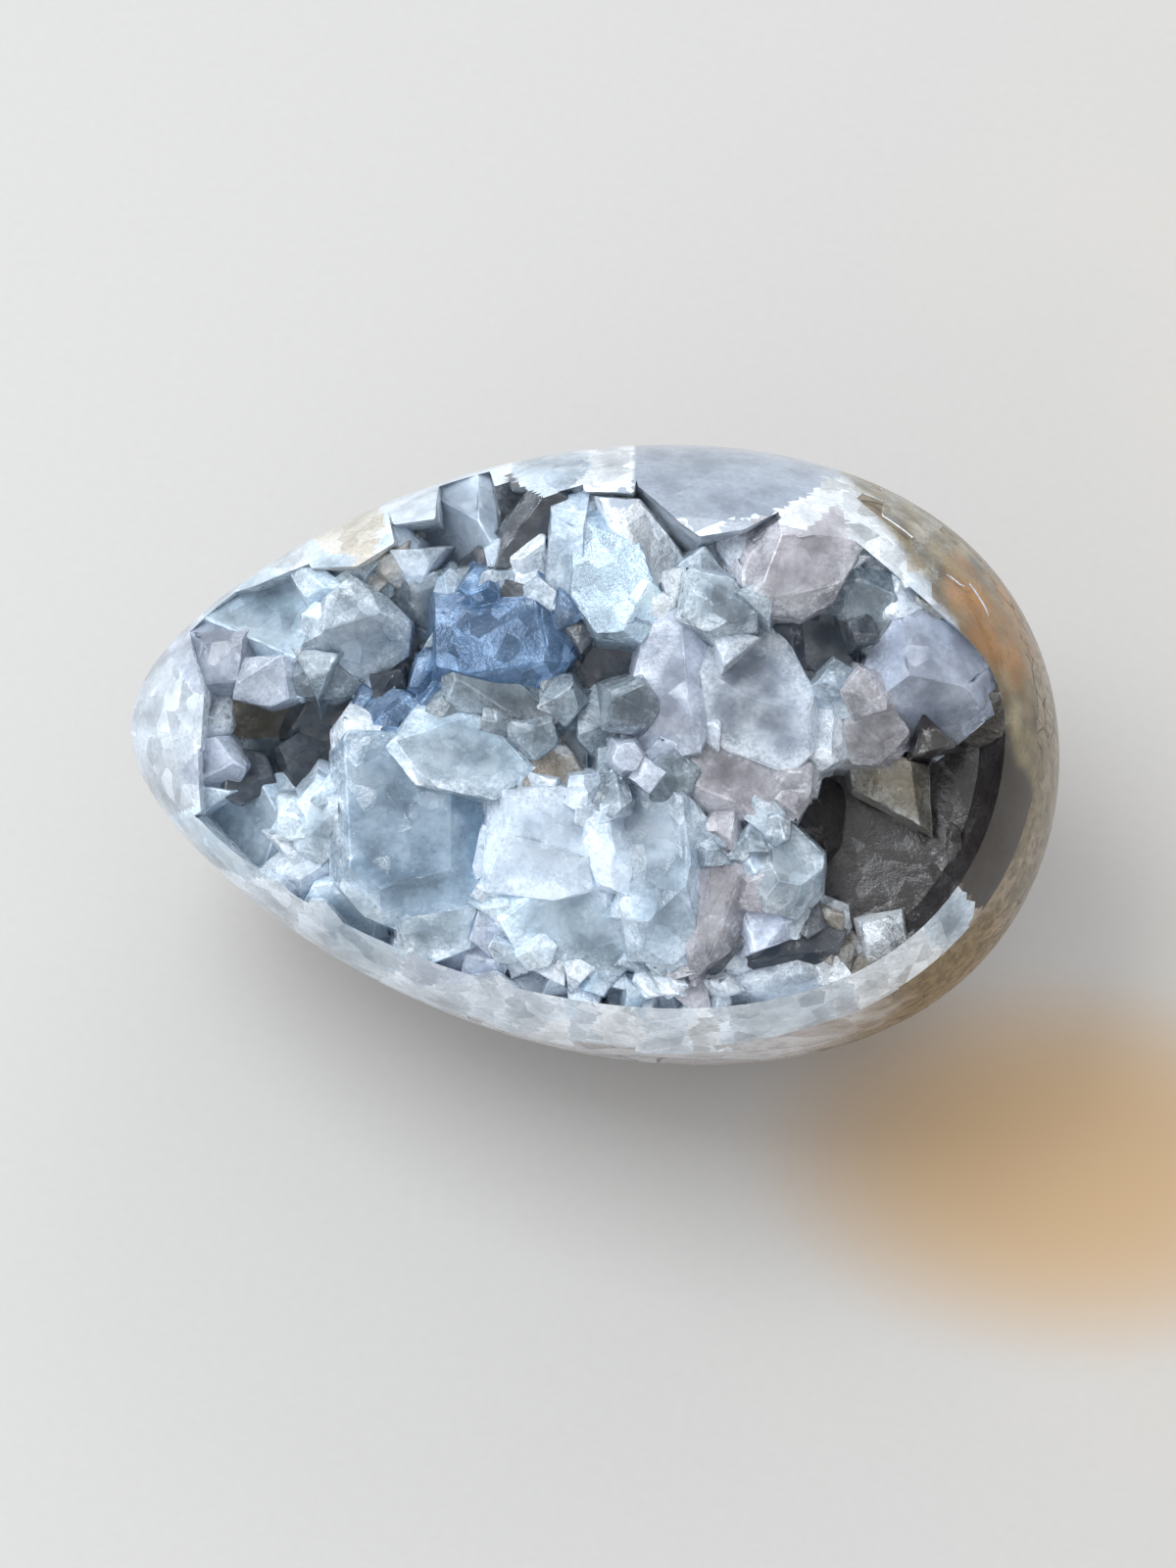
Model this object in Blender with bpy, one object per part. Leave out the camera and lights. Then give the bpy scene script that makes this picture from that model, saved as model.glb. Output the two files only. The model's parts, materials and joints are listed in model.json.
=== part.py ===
"""A celestite geode, ground and polished into an egg that lies on its side.

Lengths are in millimetres until the last step, which turns every piece into metres. Everything is
modelled in the frame of the opening: u runs along the egg to its blunt end, v across it and w out of
the hollow. The egg's centre is at its origin.
"""

import math
import random

import bmesh
import bpy
from mathutils import Matrix, Vector, noise

METRES_PER_MM = 0.001

# The egg
EGG_LENGTH = 90.0
EGG_GIRTH = 29.36
EGG_PROFILE = (1.0, 0.2166, -0.0289, 0.0845)
EGG_RINGS = 26
EGG_SEGMENTS = 52
FLAT_SPOT_DEPTH = 1.2
LARGEST_RADIUS = 30.0
AXIS_HEIGHT = LARGEST_RADIUS - FLAT_SPOT_DEPTH
OPENING_ELEVATION = 60.0

# The pan, the wide hollow that was opened by the grinding
RIM_HEIGHT = 7.0
RIM_TILT_TO_TIP = 12.0
RIM_TILT_BACK = 8.0
RIM_LENGTH_SHARE = 0.965
RIM_FRONT_SHARE = 0.945
RIM_BACK_SHARE = 1.0
RIM_DENT = 0.35
RIM_DENT_ANGLE = 30.0
RIM_DENT_WIDTH = 32.0
RIM_WAVE = 0.7
RIM_WAVE_COUNT = 3.1
PAN_DEPTH = 8.0
PAN_TOP = 40.0
PAN_BULGE = 0.6
PAN_SEGMENTS = 56
PAN_STEPS = 6

# The crust
FIT_GAP = 0.3
CRUST_THICKNESS = 2.2
BED_ALLOWANCE = 1.0
CRYSTAL_ROOT = -14.0
DISH_DEPTH = 3.5
DISH_REACH = (38.0, 24.0)
OVERLAP = 0.6
SIDE_DROP = 3.0
FLARE_LEAST, FLARE_MOST = 5.0, 13.0
CHAMFER_SHARE = 0.55
CHAMFER_LEAST, CHAMFER_MOST = 0.5, 1.6
CHAMFER_TILT_LEAST, CHAMFER_TILT_MOST = 42.0, 64.0
GROUND_DEPTH = 0.35
GROUND_END_MARGIN = 2.0
GROUND_SIDE_SHARE = 0.95
SMALLEST_CHAMFERED_CRYSTAL = 3.0
REACH = 60.0
SEED = 11
SHELL_COLOUR = (0.46, 0.44, 0.40)
CRYSTAL_COLOUR = (0.62, 0.70, 0.76)

# The small crystals that stand between the large ones
SMALL_COUNT = 260
SMALL_RADIUS_LEAST, SMALL_RADIUS_MOST = 1.0, 2.3
SMALL_SINK_LEAST, SMALL_SINK_MOST = 3.5, 8.0
SMALL_SIDES = 5
SMALL_SPREAD = 0.93
SMALL_TILT_LEAST, SMALL_TILT_MOST = 25.0, 50.0
SMALL_RIDGE = 0.3
GOLDEN_ANGLE = math.pi * (3 - math.sqrt(5))

# The deep pit near the blunt end, an ellipsoid
PIT_CENTRE = (27.0, -8.0, 14.0)
PIT_HALF_SIZES = (8.5, 7.0, 9.5)

# The two hollows that no small crystal stands in: middle and half-sizes over (u, v)
HOLLOWS = (
    ((-29.0, -0.5), (8.0, 6.0)),
    ((26.5, -8.0), (8.5, 7.5)),
)

# Each crystal: name, depth of its top below the polished egg, outline, crown faces.
# An outline lists (u, v) corners. A crown face is the direction that it leans to, its tilt from w,
# and how far from the crystal's middle it starts to fall.
CRYSTALS = (
    ("tip_upper", -2, ((-46, -2), (-44, 8), (-38.5, 10), (-37, 3), (-37, -2)), ()),
    ("tip_lower", -2, ((-46, 0), (-37, -0.5), (-36.8, -8), (-41, -11), (-46, -4)), ()),
    ("a1", 1, ((-40, 10), (-36, 13), (-33.3, 9), (-33, 5), (-35, 1.5), (-38, 2.5)),
     ((200, 20, 0), (320, 30, 2))),
    ("a2", 0.5, ((-35.5, 12), (-33, 16), (-28, 15.5), (-25.8, 12), (-27, 7.5), (-30.5, 5), (-34.5, 6.5)),
     ((120, 15, 0), (250, 35, 3), (0, 30, 3.5))),
    ("a3", 2.5, ((-23.5, 14), (-21, 12.5), (-18.6, 10.5), (-18.8, 8.2), (-20.3, 7), (-23.7, 5.6),
                 (-27.5, 6.8), (-25.5, 12)), ((100, 25, 0), (282, 42, 0))),
    ("a4", 4, ((-33, 6), (-29.5, 6.5), (-28.5, 4), (-31, 3), (-33.5, 3.5)), ((250, 30, 0),)),
    ("a5", 6, ((-28.5, 6), (-24, 6.5), (-22, 5), (-25, 4), (-28, 4.2)), ((270, 40, 0),)),
    ("rim_1", -2, ((-38, 12), (-33, 20), (-27, 22), (-26, 16), (-33, 13.5)), ()),
    ("rim_2", -1.5, ((-27.5, 15.5), (-27, 23), (-20.5, 25), (-19.5, 18), (-23, 15.5)), ()),
    ("a6", 1, ((-27, 13), (-23.5, 14), (-21.5, 17), (-26.5, 17.5)), ((60, 20, 0),)),
    ("b1", 0, ((-20.5, 18), (-20, 25), (-12, 28), (-8, 26), (-8.7, 18.5), (-12, 15.5), (-17, 16)),
     ((250, 22, 3),)),
    ("b1_facet", -1, ((-20, 20), (-19, 26), (-15.5, 26), (-16, 20.5)), ()),
    ("b4", 8, ((-19.5, 14), (-15, 15.5), (-13.8, 12.5), (-15, 9.5), (-18.5, 10.5)), ((300, 20, 0),)),
    ("b5", 11, ((-20.5, 9), (-16, 9.5), (-14.8, 6), (-16.5, 3.5), (-20.5, 4.5)), ((10, 15, 0),)),
    ("b2", 4, ((-10, 15), (-8.8, 20.5), (-5.8, 25.5), (-2.8, 23), (-3.3, 17), (-5, 15)), ((320, 25, 0),)),
    ("b2_chip", 3.5, ((-8.3, 16.5), (-8, 19.5), (-6.3, 19), (-6, 16.5)), ((130, 45, 0), (310, 40, 0.3))),
    ("rim_3", -2, ((-9, 24), (-9, 30), (-1, 32), (-1, 25), (-5, 23.5)), ()),
    ("c1", 5, ((-14.8, 12.6), (-8.5, 13.9), (-3.5, 12.5), (-2, 9.5), (-4, 6.5), (-9, 4), (-14.7, 3)),
     ((105, 16, 0), (280, 25, 3))),
    ("c2", 5.5, ((-14, 6.5), (-9, 8.2), (-3.5, 4.2), (-4, 2.5), (-13.5, 3.5)), ((60, 12, 0), (240, 30, 2))),
    ("c3", 3, ((-4.8, 12), (-4.6, 22), (-2.6, 23), (-2.2, 12.5)), ((180, 30, 0),)),
    ("c4", 2.5, ((-2.3, 22.5), (0, 22), (2, 20), (4.5, 15), (5.5, 12.8), (3.5, 10.2), (0, 10.3), (-2.5, 14)),
     ((128, 22, 0),)),
    ("c5", 3.5, ((0, 22.5), (2.5, 22.5), (5, 19.8), (7.4, 16.5), (5.6, 13), (3, 15)), ((20, 35, 0),)),
    ("c6", 0, ((-2.5, 23.5), (-2, 32), (2, 32), (2.2, 23.5)), ((100, 10, 0),)),
    ("k1", -1, ((1, 29), (5, 31.5), (12, 31.5), (16, 29), (19.5, 25.5), (20, 23), (16, 21), (13.5, 19),
                (8, 17.5), (5.5, 19.5), (1.5, 24)), ()),
    ("k2", 4, ((7.5, 12.5), (8, 16.5), (11.5, 17.5), (13.8, 15.5), (13.5, 12), (10.5, 10.8)),
     ((45, 20, 0), (225, 25, 1.5))),
    ("k3", 3, ((13.5, 16), (14.5, 20), (18, 21.5), (21, 19.5), (20.5, 15), (18, 13.5), (15, 13.5)),
     ((290, 20, 0),)),
    ("k4", 7, ((14.8, 12), (18.3, 13.5), (19, 7)), ((200, 30, 0),)),
    ("k5", 8, ((19, 13.5), (21, 15), (24.8, 10.5), (25, 7), (19.5, 7)), ((0, 12, 0),)),
    ("k6", 4, ((21.5, 15), (22, 17.5), (26, 17), (26.8, 12.5), (25, 10.5)), ((200, 20, 0),)),
    ("k7", 0.5, ((16, 29), (19.5, 28), (22, 25), (19, 22.5)), ((240, 20, 0),)),
    ("k8", 1.5, ((20, 24), (24, 24), (24.5, 19), (20.5, 19)), ((60, 15, 0),)),
    ("k9", 1, ((24, 23), (27, 21), (27.5, 16), (24, 17)), ((220, 25, 0),)),
    ("k10", 0.5, ((26.2, 17.5), (30, 17.5), (30.5, 13.8), (26.5, 13.8)), ((130, 15, 0),)),
    ("l1", 1.5, ((26, 14), (30, 15.5), (34, 16), (35.5, 10), (34.5, 5), (31.8, 1.8), (28, 3.5), (25, 9)),
     ((150, 15, 0), (300, 30, 3))),
    ("l2", -1, ((34, 13), (38, 15), (44, 9), (44, 2), (40, 3.5), (36.5, 5)), ()),
    ("l3", 3, ((34.5, 6.5), (37, 7), (40, 5.5), (36, 3), (33.5, 4)), ((280, 25, 0),)),
    ("n1", 5, ((10.5, 9.5), (14.5, 12), (16.5, 10.5), (19.8, 5), (20, 1.5), (18, -0.5), (12.5, 1), (9, 4)),
     ((250, 10, 0), (60, 30, 3))),
    ("n2", 5, ((4.5, 11), (7.5, 13), (10, 10.5), (9.8, 3), (9.3, 0.5), (5, -0.5), (3, 0)),
     ((200, 20, 0), (20, 30, 1.5))),
    ("n3", 9, ((-2, 10.5), (1, 10.5), (4.5, 10), (4, 6.5), (0, 5.5), (-3, 7)), ((270, 15, 0),)),
    ("n5", 7.5, ((-1, 4), (1, 6), (3, 4), (2.8, 0.5), (0.8, -0.5), (-1, 1)), ((120, 30, 0), (300, 30, 0))),
    ("n6", 10, ((-5, 2.5), (-2, 4), (0, 2), (0, -2), (-4, -2)), ((200, 15, 0),)),
    ("n7", 7, ((-6.5, -1), (-3, -0.5), (-1, -3), (-3.5, -4.5), (-6.5, -4)), ((60, 25, 0),)),
    ("n8", 6, ((9.5, 0.5), (12, 1.5), (17, -0.5), (17, -4), (13, -5.5), (9, -4)), ((80, 15, 0),)),
    ("n9", 6, ((20, 5), (22.5, 5), (23, 1), (20.5, -0.5)), ((150, 25, 0),)),
    ("n10", 6, ((22, 6), (26, 7), (28.5, 3), (27.5, 0.5), (22.5, 0.5)), ((250, 20, 0),)),
    ("h2", 6, ((24.5, 0), (27, 0.8), (30.5, -0.5), (31, -5), (25, -2)), ((210, 20, 0),)),
    ("e0", 4.5, ((-18.5, -1), (-16, 2.5), (-10, 3), (-6.5, 0.5), (-5.8, -3), (-9, -5), (-16, -4)),
     ((80, 30, 0),)),
    ("e1", 2, ((-23.5, -2), (-22.5, -0.5), (-15, -0.3), (-11, -4.5), (-9.3, -7), (-8.6, -10), (-8.8, -13),
               (-12, -16), (-16, -17.5), (-20, -16), (-23, -13)), ((120, 8, 0), (0, 35, 5.5), (270, 30, 6))),
    ("e2", 0, ((-25, -14), (-22, -13.5), (-16, -17), (-15, -20), (-19, -22.5), (-24, -19.5)),
     ((100, 12, 0),)),
    ("e3", 2.5, ((-17, -16.5), (-12, -14.5), (-8.6, -15.5), (-9.5, -18), (-15, -19.5)), ((80, 20, 0),)),
    ("e4", 6, ((-22, 1), (-19.5, 3.8), (-15, 3), (-14.5, 0), (-19, -0.8)), ((110, 20, 0),)),
    ("e5", 5, ((-24, 0), (-22.8, 2), (-20.5, 1), (-21.5, -1), (-23.8, -1.8)), ((140, 30, 0),)),
    ("e6", 2.5, ((-17, -18.5), (-9.5, -17.5), (-8.5, -21), (-14, -22)), ((70, 15, 0),)),
    ("e7", -0.5, ((-10.5, -22.5), (-8, -21.5), (-6.2, -22.8), (-7, -25), (-10, -25)), ()),
    ("f1", 3, ((-8.7, -5), (-3, -4.3), (-0.5, -5), (1.5, -9), (2, -12), (-3, -13.5), (-8.7, -13)),
     ((90, 10, 0), (300, 20, 3))),
    ("f2", 2, ((-8, -15), (-6, -12.5), (0, -11.5), (3.5, -15), (4.8, -18.5), (3, -20), (-5.5, -18.5)),
     ((100, 22, 0), (280, 30, 2))),
    ("g1", 2.5, ((0.3, -5), (2, -4.5), (3.8, -9), (3.3, -12.5), (1.5, -12), (0, -9)), ((150, 25, 0),)),
    ("g2", 2, ((1.8, -5), (2, -3), (4, -2.2), (6.5, -3.3), (8.8, -5), (10, -8), (10, -13), (9.5, -17),
               (8, -18.5), (5, -18.5), (3.3, -12)), ((70, 12, 0), (280, 22, 4), (180, 35, 2.5))),
    ("g3", 3, ((9.8, -9), (13, -8.5), (14.5, -12), (13.5, -17), (10.5, -19.5), (9.3, -16)),
     ((0, 25, 0), (180, 30, 1))),
    ("h1", 3.5, ((14.5, -9), (17.3, -6), (20.8, -9), (20.8, -12), (19.5, -13.8), (15.5, -13.3)),
     ((60, 35, 0), (180, 25, 0), (300, 35, 0))),
    ("h3", 5, ((13.5, -13), (18.5, -13.5), (18.5, -16), (14, -18)), ((100, 20, 0),)),
    ("j1", 5, ((14, -18.5), (18.5, -15.5), (21.5, -14.8), (23.5, -16), (22.5, -20), (15, -20)),
     ((100, 20, 0), (280, 30, 1))),
    ("j2", 0, ((12.5, -21), (17.5, -19.7), (21, -18.3), (24, -22), (20, -25), (12, -26)), ((90, 12, 0),)),
    ("j3", 0, ((5.5, -22.5), (10.8, -22), (11, -26), (6, -26.5)), ((80, 10, 0),)),
    ("rim_4", -1, ((-7, -20.5), (-1, -20.5), (5, -22), (5, -28), (-6, -27.5)), ()),
    ("j4", 1, ((23.5, -16), (26.5, -16), (28, -19), (26, -23), (23, -22)), ((140, 20, 0),)),
    ("j5", 0.5, ((27, -17), (31, -15.5), (33.5, -17.5), (33, -22), (27.5, -24)), ((60, 15, 0),)),
    ("j6", 2, ((31.5, -16), (33.2, -10), (35, -13), (36.5, -16.5)), ((200, 35, 0), (20, 35, 0))),
    ("j7", 0, ((35, -14), (39, -12.5), (41, -14), (37, -21), (33.5, -21)), ((90, 10, 0),)),
    ("d1", 0.8, ((-38.5, -8), (-33, -5.7), (-30, -4.8), (-27, -7.7), (-27.5, -10.5), (-28.5, -13.5),
                 (-33, -14.8), (-39, -10)), ((60, 25, 0), (180, 20, 0), (290, 20, 1))),
    ("d2", 2, ((-27, -7), (-25.5, -4.8), (-23.7, -5.5), (-23.3, -10), (-25, -11.5), (-26.8, -10.5)),
     ((160, 20, 0),)),
    ("d3", 1, ((-28.5, -13.5), (-27.5, -11), (-23.8, -10.8), (-23.5, -14), (-26, -15.5)), ((140, 15, 0),)),
    ("d4", 2, ((-38, -2.5), (-35, -1.5), (-33.5, -3.5), (-34.5, -6), (-38, -6.5)), ((20, 20, 0),)),
    ("d5", 4, ((-35, -2.5), (-32, -3), (-31, -5), (-33.5, -6.5), (-35.5, -5.5)), ((40, 30, 0),)),
    ("rim_5", -2, ((-42, -7), (-37, -8.5), (-31, -13.5), (-32, -19), (-42, -13)), ()),
    ("rim_6", -2, ((-33, -14), (-28.5, -13), (-26, -15.5), (-26, -22), (-33, -19)), ()),
    ("rim_7", -2, ((-26, -15), (-24, -15), (-19, -21), (-19, -25.5), (-26, -22)), ()),
    ("rim_8", -1, ((-19, -22), (-14, -21.5), (-10, -22.5), (-9, -27), (-19, -25.5)), ()),
    ("m1", 11, ((-30, -2), (-28, -0.5), (-25.5, -1.5), (-25, -5), (-28, -6), (-30, -4.5)),
     ((60, 30, 0), (240, 30, 0))),
    ("m2", 2, ((33.5, 3.5), (40, 5.3), (41.5, -1), (42, -5), (41.5, -11), (39, -13.5), (35.5, -14),
               (31.5, -6), (31, 0)), ((190, 18, 0),)),
)


def egg_radius(u):
    """The egg's radius at u, as a circle's height times a polynomial that makes one end blunt."""
    t = max(-1.0, min(1.0, 2 * u / EGG_LENGTH))
    blunt = sum(factor * t**power for power, factor in enumerate(EGG_PROFILE))
    return EGG_GIRTH * math.sqrt(1 - t * t) * blunt


def egg_height(u, v):
    """How far out of the opening the polished egg reaches over (u, v)."""
    return math.sqrt(max(0.0, egg_radius(u) ** 2 - v * v))


def new_object(name, bm, colour=None):
    """Makes an object of a bmesh, with its faces pointing out."""
    bmesh.ops.recalc_face_normals(bm, faces=bm.faces)
    mesh = bpy.data.meshes.new(name)
    bm.to_mesh(mesh)
    bm.free()
    obj = bpy.data.objects.new(name, mesh)
    bpy.context.scene.collection.objects.link(obj)
    if colour is None:
        obj.hide_render = True
        obj.display_type = "WIRE"
    else:
        obj.data.materials.append(stone_material(name, colour))
    return obj


def stone_material(name, colour):
    material = bpy.data.materials.new(name)
    material.use_nodes = True
    shader = material.node_tree.nodes["Principled BSDF"]
    shader.inputs["Base Color"].default_value = (*colour, 1.0)
    shader.inputs["Roughness"].default_value = 0.2
    shader.inputs["Metallic"].default_value = 0.0
    return material


def placement():
    """From the opening's frame in millimetres to the world in metres."""
    lift = Matrix.Translation((0, 0, AXIS_HEIGHT * METRES_PER_MM))
    tip = Matrix.Rotation(math.radians(90 - OPENING_ELEVATION), 4, "X")
    return lift @ tip @ Matrix.Scale(METRES_PER_MM, 4)


def trim(bm, point, normal):
    """Cuts away what lies beyond a plane and closes the cut."""
    parts = bm.verts[:] + bm.edges[:] + bm.faces[:]
    cut = bmesh.ops.bisect_plane(bm, geom=parts, plane_co=point, plane_no=normal, clear_outer=True,
                                 dist=1e-5)
    edges = [item for item in cut["geom_cut"] if isinstance(item, bmesh.types.BMEdge)]
    if edges:
        bmesh.ops.contextual_create(bm, geom=edges)


def egg_mesh():
    """The whole egg, spun about its long axis."""
    bm = bmesh.new()
    profile = []
    for ring in range(EGG_RINGS + 1):
        u = -EGG_LENGTH / 2 * math.cos(math.pi * ring / EGG_RINGS)
        profile.append(bm.verts.new((u, 0, egg_radius(u))))
    edges = [bm.edges.new(pair) for pair in zip(profile, profile[1:])]
    bmesh.ops.spin(bm, geom=profile + edges, cent=(0, 0, 0), axis=(1, 0, 0), angle=math.tau,
                   steps=EGG_SEGMENTS, use_merge=True)
    bmesh.ops.remove_doubles(bm, verts=bm.verts, dist=1e-4)
    return bm


def rim_point(angle):
    """The rim's outline, seen along the opening's own axis."""
    along, across = math.cos(angle), math.sin(angle)
    dent = (math.degrees(angle) - RIM_DENT_ANGLE) / RIM_DENT_WIDTH
    share = RIM_BACK_SHARE - RIM_DENT * math.exp(-dent * dent) if across > 0 else RIM_FRONT_SHARE
    half_width = egg_radius(EGG_LENGTH / 2 * along) * share
    wave = RIM_WAVE * noise.noise(Vector((along, across, 0)) * RIM_WAVE_COUNT)
    point = Vector((EGG_LENGTH / 2 * RIM_LENGTH_SHARE * along, math.copysign(half_width, across)))
    return point * (1 + wave / LARGEST_RADIUS)


def pan_mesh(inset):
    """The wide hollow as a solid: straight walls above the rim and a rounded floor below it."""
    bm = bmesh.new()
    outline = [rim_point(math.tau * step / PAN_SEGMENTS - math.pi) for step in range(PAN_SEGMENTS)]
    levels = [(1.0, PAN_TOP - inset)]
    for step in range(PAN_STEPS):
        turn = math.pi / 2 * step / PAN_STEPS
        levels.append((math.cos(turn) ** PAN_BULGE, inset - PAN_DEPTH * math.sin(turn)))
    rings = []
    for share, height in levels:
        ring = []
        for point in outline:
            pulled = point * share * (1 - inset / point.length)
            ring.append(bm.verts.new((pulled.x, pulled.y, height)))
        rings.append(ring)
    bm.faces.new(rings[0])
    for upper, lower in zip(rings, rings[1:]):
        for index in range(PAN_SEGMENTS):
            after = (index + 1) % PAN_SEGMENTS
            bm.faces.new((upper[index], upper[after], lower[after], lower[index]))
    floor = bm.verts.new((0, 0, inset - PAN_DEPTH))
    for index in range(PAN_SEGMENTS):
        bm.faces.new((rings[-1][index], rings[-1][(index + 1) % PAN_SEGMENTS], floor))
    tilt = Matrix.Rotation(math.radians(-RIM_TILT_BACK), 4, "X")
    tilt = tilt @ Matrix.Rotation(math.radians(-RIM_TILT_TO_TIP), 4, "Y")
    bmesh.ops.transform(bm, matrix=tilt @ Matrix.Translation((0, 0, RIM_HEIGHT)), verts=bm.verts)
    return bm


def pit_mesh(inset):
    bm = bmesh.new()
    size = [half - inset for half in PIT_HALF_SIZES]
    matrix = Matrix.Translation(PIT_CENTRE) @ Matrix.Diagonal((*size, 1.0))
    bmesh.ops.create_icosphere(bm, subdivisions=2, radius=1.0, matrix=matrix)
    return bm


def dish(u, v):
    """How much deeper the crystals' tops lie towards the middle of the hollow."""
    away = (u / DISH_REACH[0]) ** 2 + (v / DISH_REACH[1]) ** 2
    return DISH_DEPTH * max(0.0, 1 - away)


def ground_plane(middle):
    """A facet that the grinding left at the egg's surface over the crystal's middle."""
    last = EGG_LENGTH / 2 - GROUND_END_MARGIN
    u = max(-last, min(last, middle.x))
    widest = GROUND_SIDE_SHARE * egg_radius(u)
    v = max(-widest, min(widest, middle.y))
    slope = (egg_radius(u + 0.5) ** 2 - egg_radius(u - 0.5) ** 2) / 2
    point = Vector((u, v, egg_height(u, v)))
    normal = Vector((-slope, v, point.z)).normalized()
    return point - normal * GROUND_DEPTH, normal


def crown_planes(middle, top, crown):
    """Each crown face as a point on it and its normal. A crystal with none was ground with the egg."""
    if not crown:
        return [ground_plane(middle)]
    planes = []
    for azimuth, tilt, start in crown:
        lean = Vector((math.cos(math.radians(azimuth)), math.sin(math.radians(azimuth))))
        foot = Vector((*(middle + lean * start), top))
        planes.append((foot, Vector((*(lean * math.tan(math.radians(tilt))), 1))))
    return planes


def crown_height(planes, u, v):
    heights = [point.z - (normal.x * (u - point.x) + normal.y * (v - point.y)) / normal.z
               for point, normal in planes]
    return min(heights)


def crystal_mesh(bm, sink, outline, crown, draw):
    """Adds one convex crystal: a block cut by a plane at each side of its outline and at each crown face."""
    block = bmesh.new()
    middle = sum((Vector(corner) for corner in outline), Vector((0, 0))) / len(outline)
    top = egg_height(*middle) - sink - (dish(*middle) if crown else 0.0)
    planes = crown_planes(middle, top, crown)
    flare = math.radians(draw.uniform(FLARE_LEAST, FLARE_MOST))
    spread = Matrix.Translation((*middle, 0)) @ Matrix.Scale(2 * REACH, 4)
    bmesh.ops.create_cube(block, size=1.0, matrix=spread)
    trim(block, (0, 0, CRYSTAL_ROOT), (0, 0, -1))
    for point, normal in planes:
        trim(block, point, normal)
    for here, there in zip(outline, outline[1:] + outline[:1]):
        side = Vector(there) - Vector(here)
        outward = Vector((side.y, -side.x)).normalized()
        if outward.dot(Vector(here) - middle) < 0:
            outward = -outward
        trim(block, (*(Vector(here) + outward * OVERLAP), top - SIDE_DROP), (*outward, math.tan(flare)))
        width = draw.uniform(CHAMFER_LEAST, CHAMFER_MOST)
        tilt = math.radians(draw.uniform(CHAMFER_TILT_LEAST, CHAMFER_TILT_MOST))
        wanted = draw.random() < CHAMFER_SHARE
        if crown and wanted and side.length > SMALLEST_CHAMFERED_CRYSTAL:
            inner = (Vector(here) + Vector(there)) / 2 - outward * width
            trim(block, (*inner, crown_height(planes, *inner)), (*(outward * math.sin(tilt)), math.cos(tilt)))
    mesh = bpy.data.meshes.new("block")
    block.to_mesh(mesh)
    block.free()
    bm.from_mesh(mesh)
    bpy.data.meshes.remove(mesh)


def in_hollow(u, v):
    """Whether a place lies in one of the two hollows."""
    return any(((u - middle[0]) / half[0]) ** 2 + ((v - middle[1]) / half[1]) ** 2 < 1
               for middle, half in HOLLOWS)


def in_outline(point, outline):
    """Whether a point lies inside a convex outline: it is on the same side of every edge."""
    turns = [(Vector(there) - Vector(here)).cross(point - Vector(here))
             for here, there in zip(outline, outline[1:] + outline[:1])]
    return min(turns) > 0 or max(turns) < 0


def small_crystals(draw):
    """Small crystals on a sunflower pattern all over the hollow, apart from the pits."""
    for index in range(SMALL_COUNT):
        share = math.sqrt((index + 0.5) / SMALL_COUNT) * SMALL_SPREAD
        turn = index * GOLDEN_ANGLE
        place = rim_point(turn % math.tau - math.pi) * share
        radius = draw.uniform(SMALL_RADIUS_LEAST, SMALL_RADIUS_MOST)
        sink = draw.uniform(SMALL_SINK_LEAST, SMALL_SINK_MOST)
        spin = draw.uniform(0, math.tau)
        turns = [spin + math.tau * side / SMALL_SIDES for side in range(SMALL_SIDES)]
        outline = [(place.x + radius * math.cos(turn), place.y + radius * math.sin(turn)) for turn in turns]
        crown = ((draw.uniform(0, 360), draw.uniform(SMALL_TILT_LEAST, SMALL_TILT_MOST), 0),
                 (draw.uniform(0, 360), draw.uniform(SMALL_TILT_LEAST, SMALL_TILT_MOST), SMALL_RIDGE))
        covered = any(in_outline(place, large) for _, _, large, _ in CRYSTALS)
        if not covered and not in_hollow(*place):
            yield sink, outline, crown


def add_boolean(obj, operation, other, use_self=False):
    modifier = obj.modifiers.new(f"{operation.lower()} {other.name}", "BOOLEAN")
    modifier.operation = operation
    modifier.solver = "EXACT"
    modifier.use_self = use_self
    modifier.object = other


def cavity(name, inset):
    """The pan and the pit as one hidden solid."""
    pan = new_object(name, pan_mesh(inset))
    add_boolean(pan, "UNION", new_object(f"{name}_pit", pit_mesh(inset)))
    return pan


def make_shell():
    """The egg, ground flat where it rests, less its hollow."""
    bm = egg_mesh()
    lean = math.radians(90 - OPENING_ELEVATION)
    down = Vector((0, -math.sin(lean), -math.cos(lean)))
    trim(bm, down * AXIS_HEIGHT, down)
    shell = new_object("egg_shell", bm, SHELL_COLOUR)
    add_boolean(shell, "DIFFERENCE", cavity("shell_cavity", 0.0))


def make_crust():
    """The bed that lines the hollow with every crystal that grew on it, ground down with the egg."""
    crust = new_object("crystal_crust", pan_mesh(-BED_ALLOWANCE), CRYSTAL_COLOUR)
    add_boolean(crust, "UNION", new_object("pit_allowance", pit_mesh(-BED_ALLOWANCE)))
    add_boolean(crust, "DIFFERENCE", cavity("bed_cavity", FIT_GAP + CRUST_THICKNESS))
    blocks = bmesh.new()
    draw = random.Random(SEED)
    for _, sink, outline, crown in CRYSTALS:
        crystal_mesh(blocks, sink, outline, crown, draw)
    for sink, outline, crown in small_crystals(draw):
        crystal_mesh(blocks, sink, outline, crown, draw)
    add_boolean(crust, "UNION", new_object("crystals", blocks), use_self=True)
    add_boolean(crust, "INTERSECT", cavity("crust_fit", FIT_GAP))
    add_boolean(crust, "INTERSECT", new_object("whole_egg", egg_mesh()))


def main():
    for obj in list(bpy.data.objects):
        bpy.data.objects.remove(obj)
    make_shell()
    make_crust()
    place = placement()
    for obj in bpy.data.objects:
        obj.matrix_world = place


main()
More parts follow.
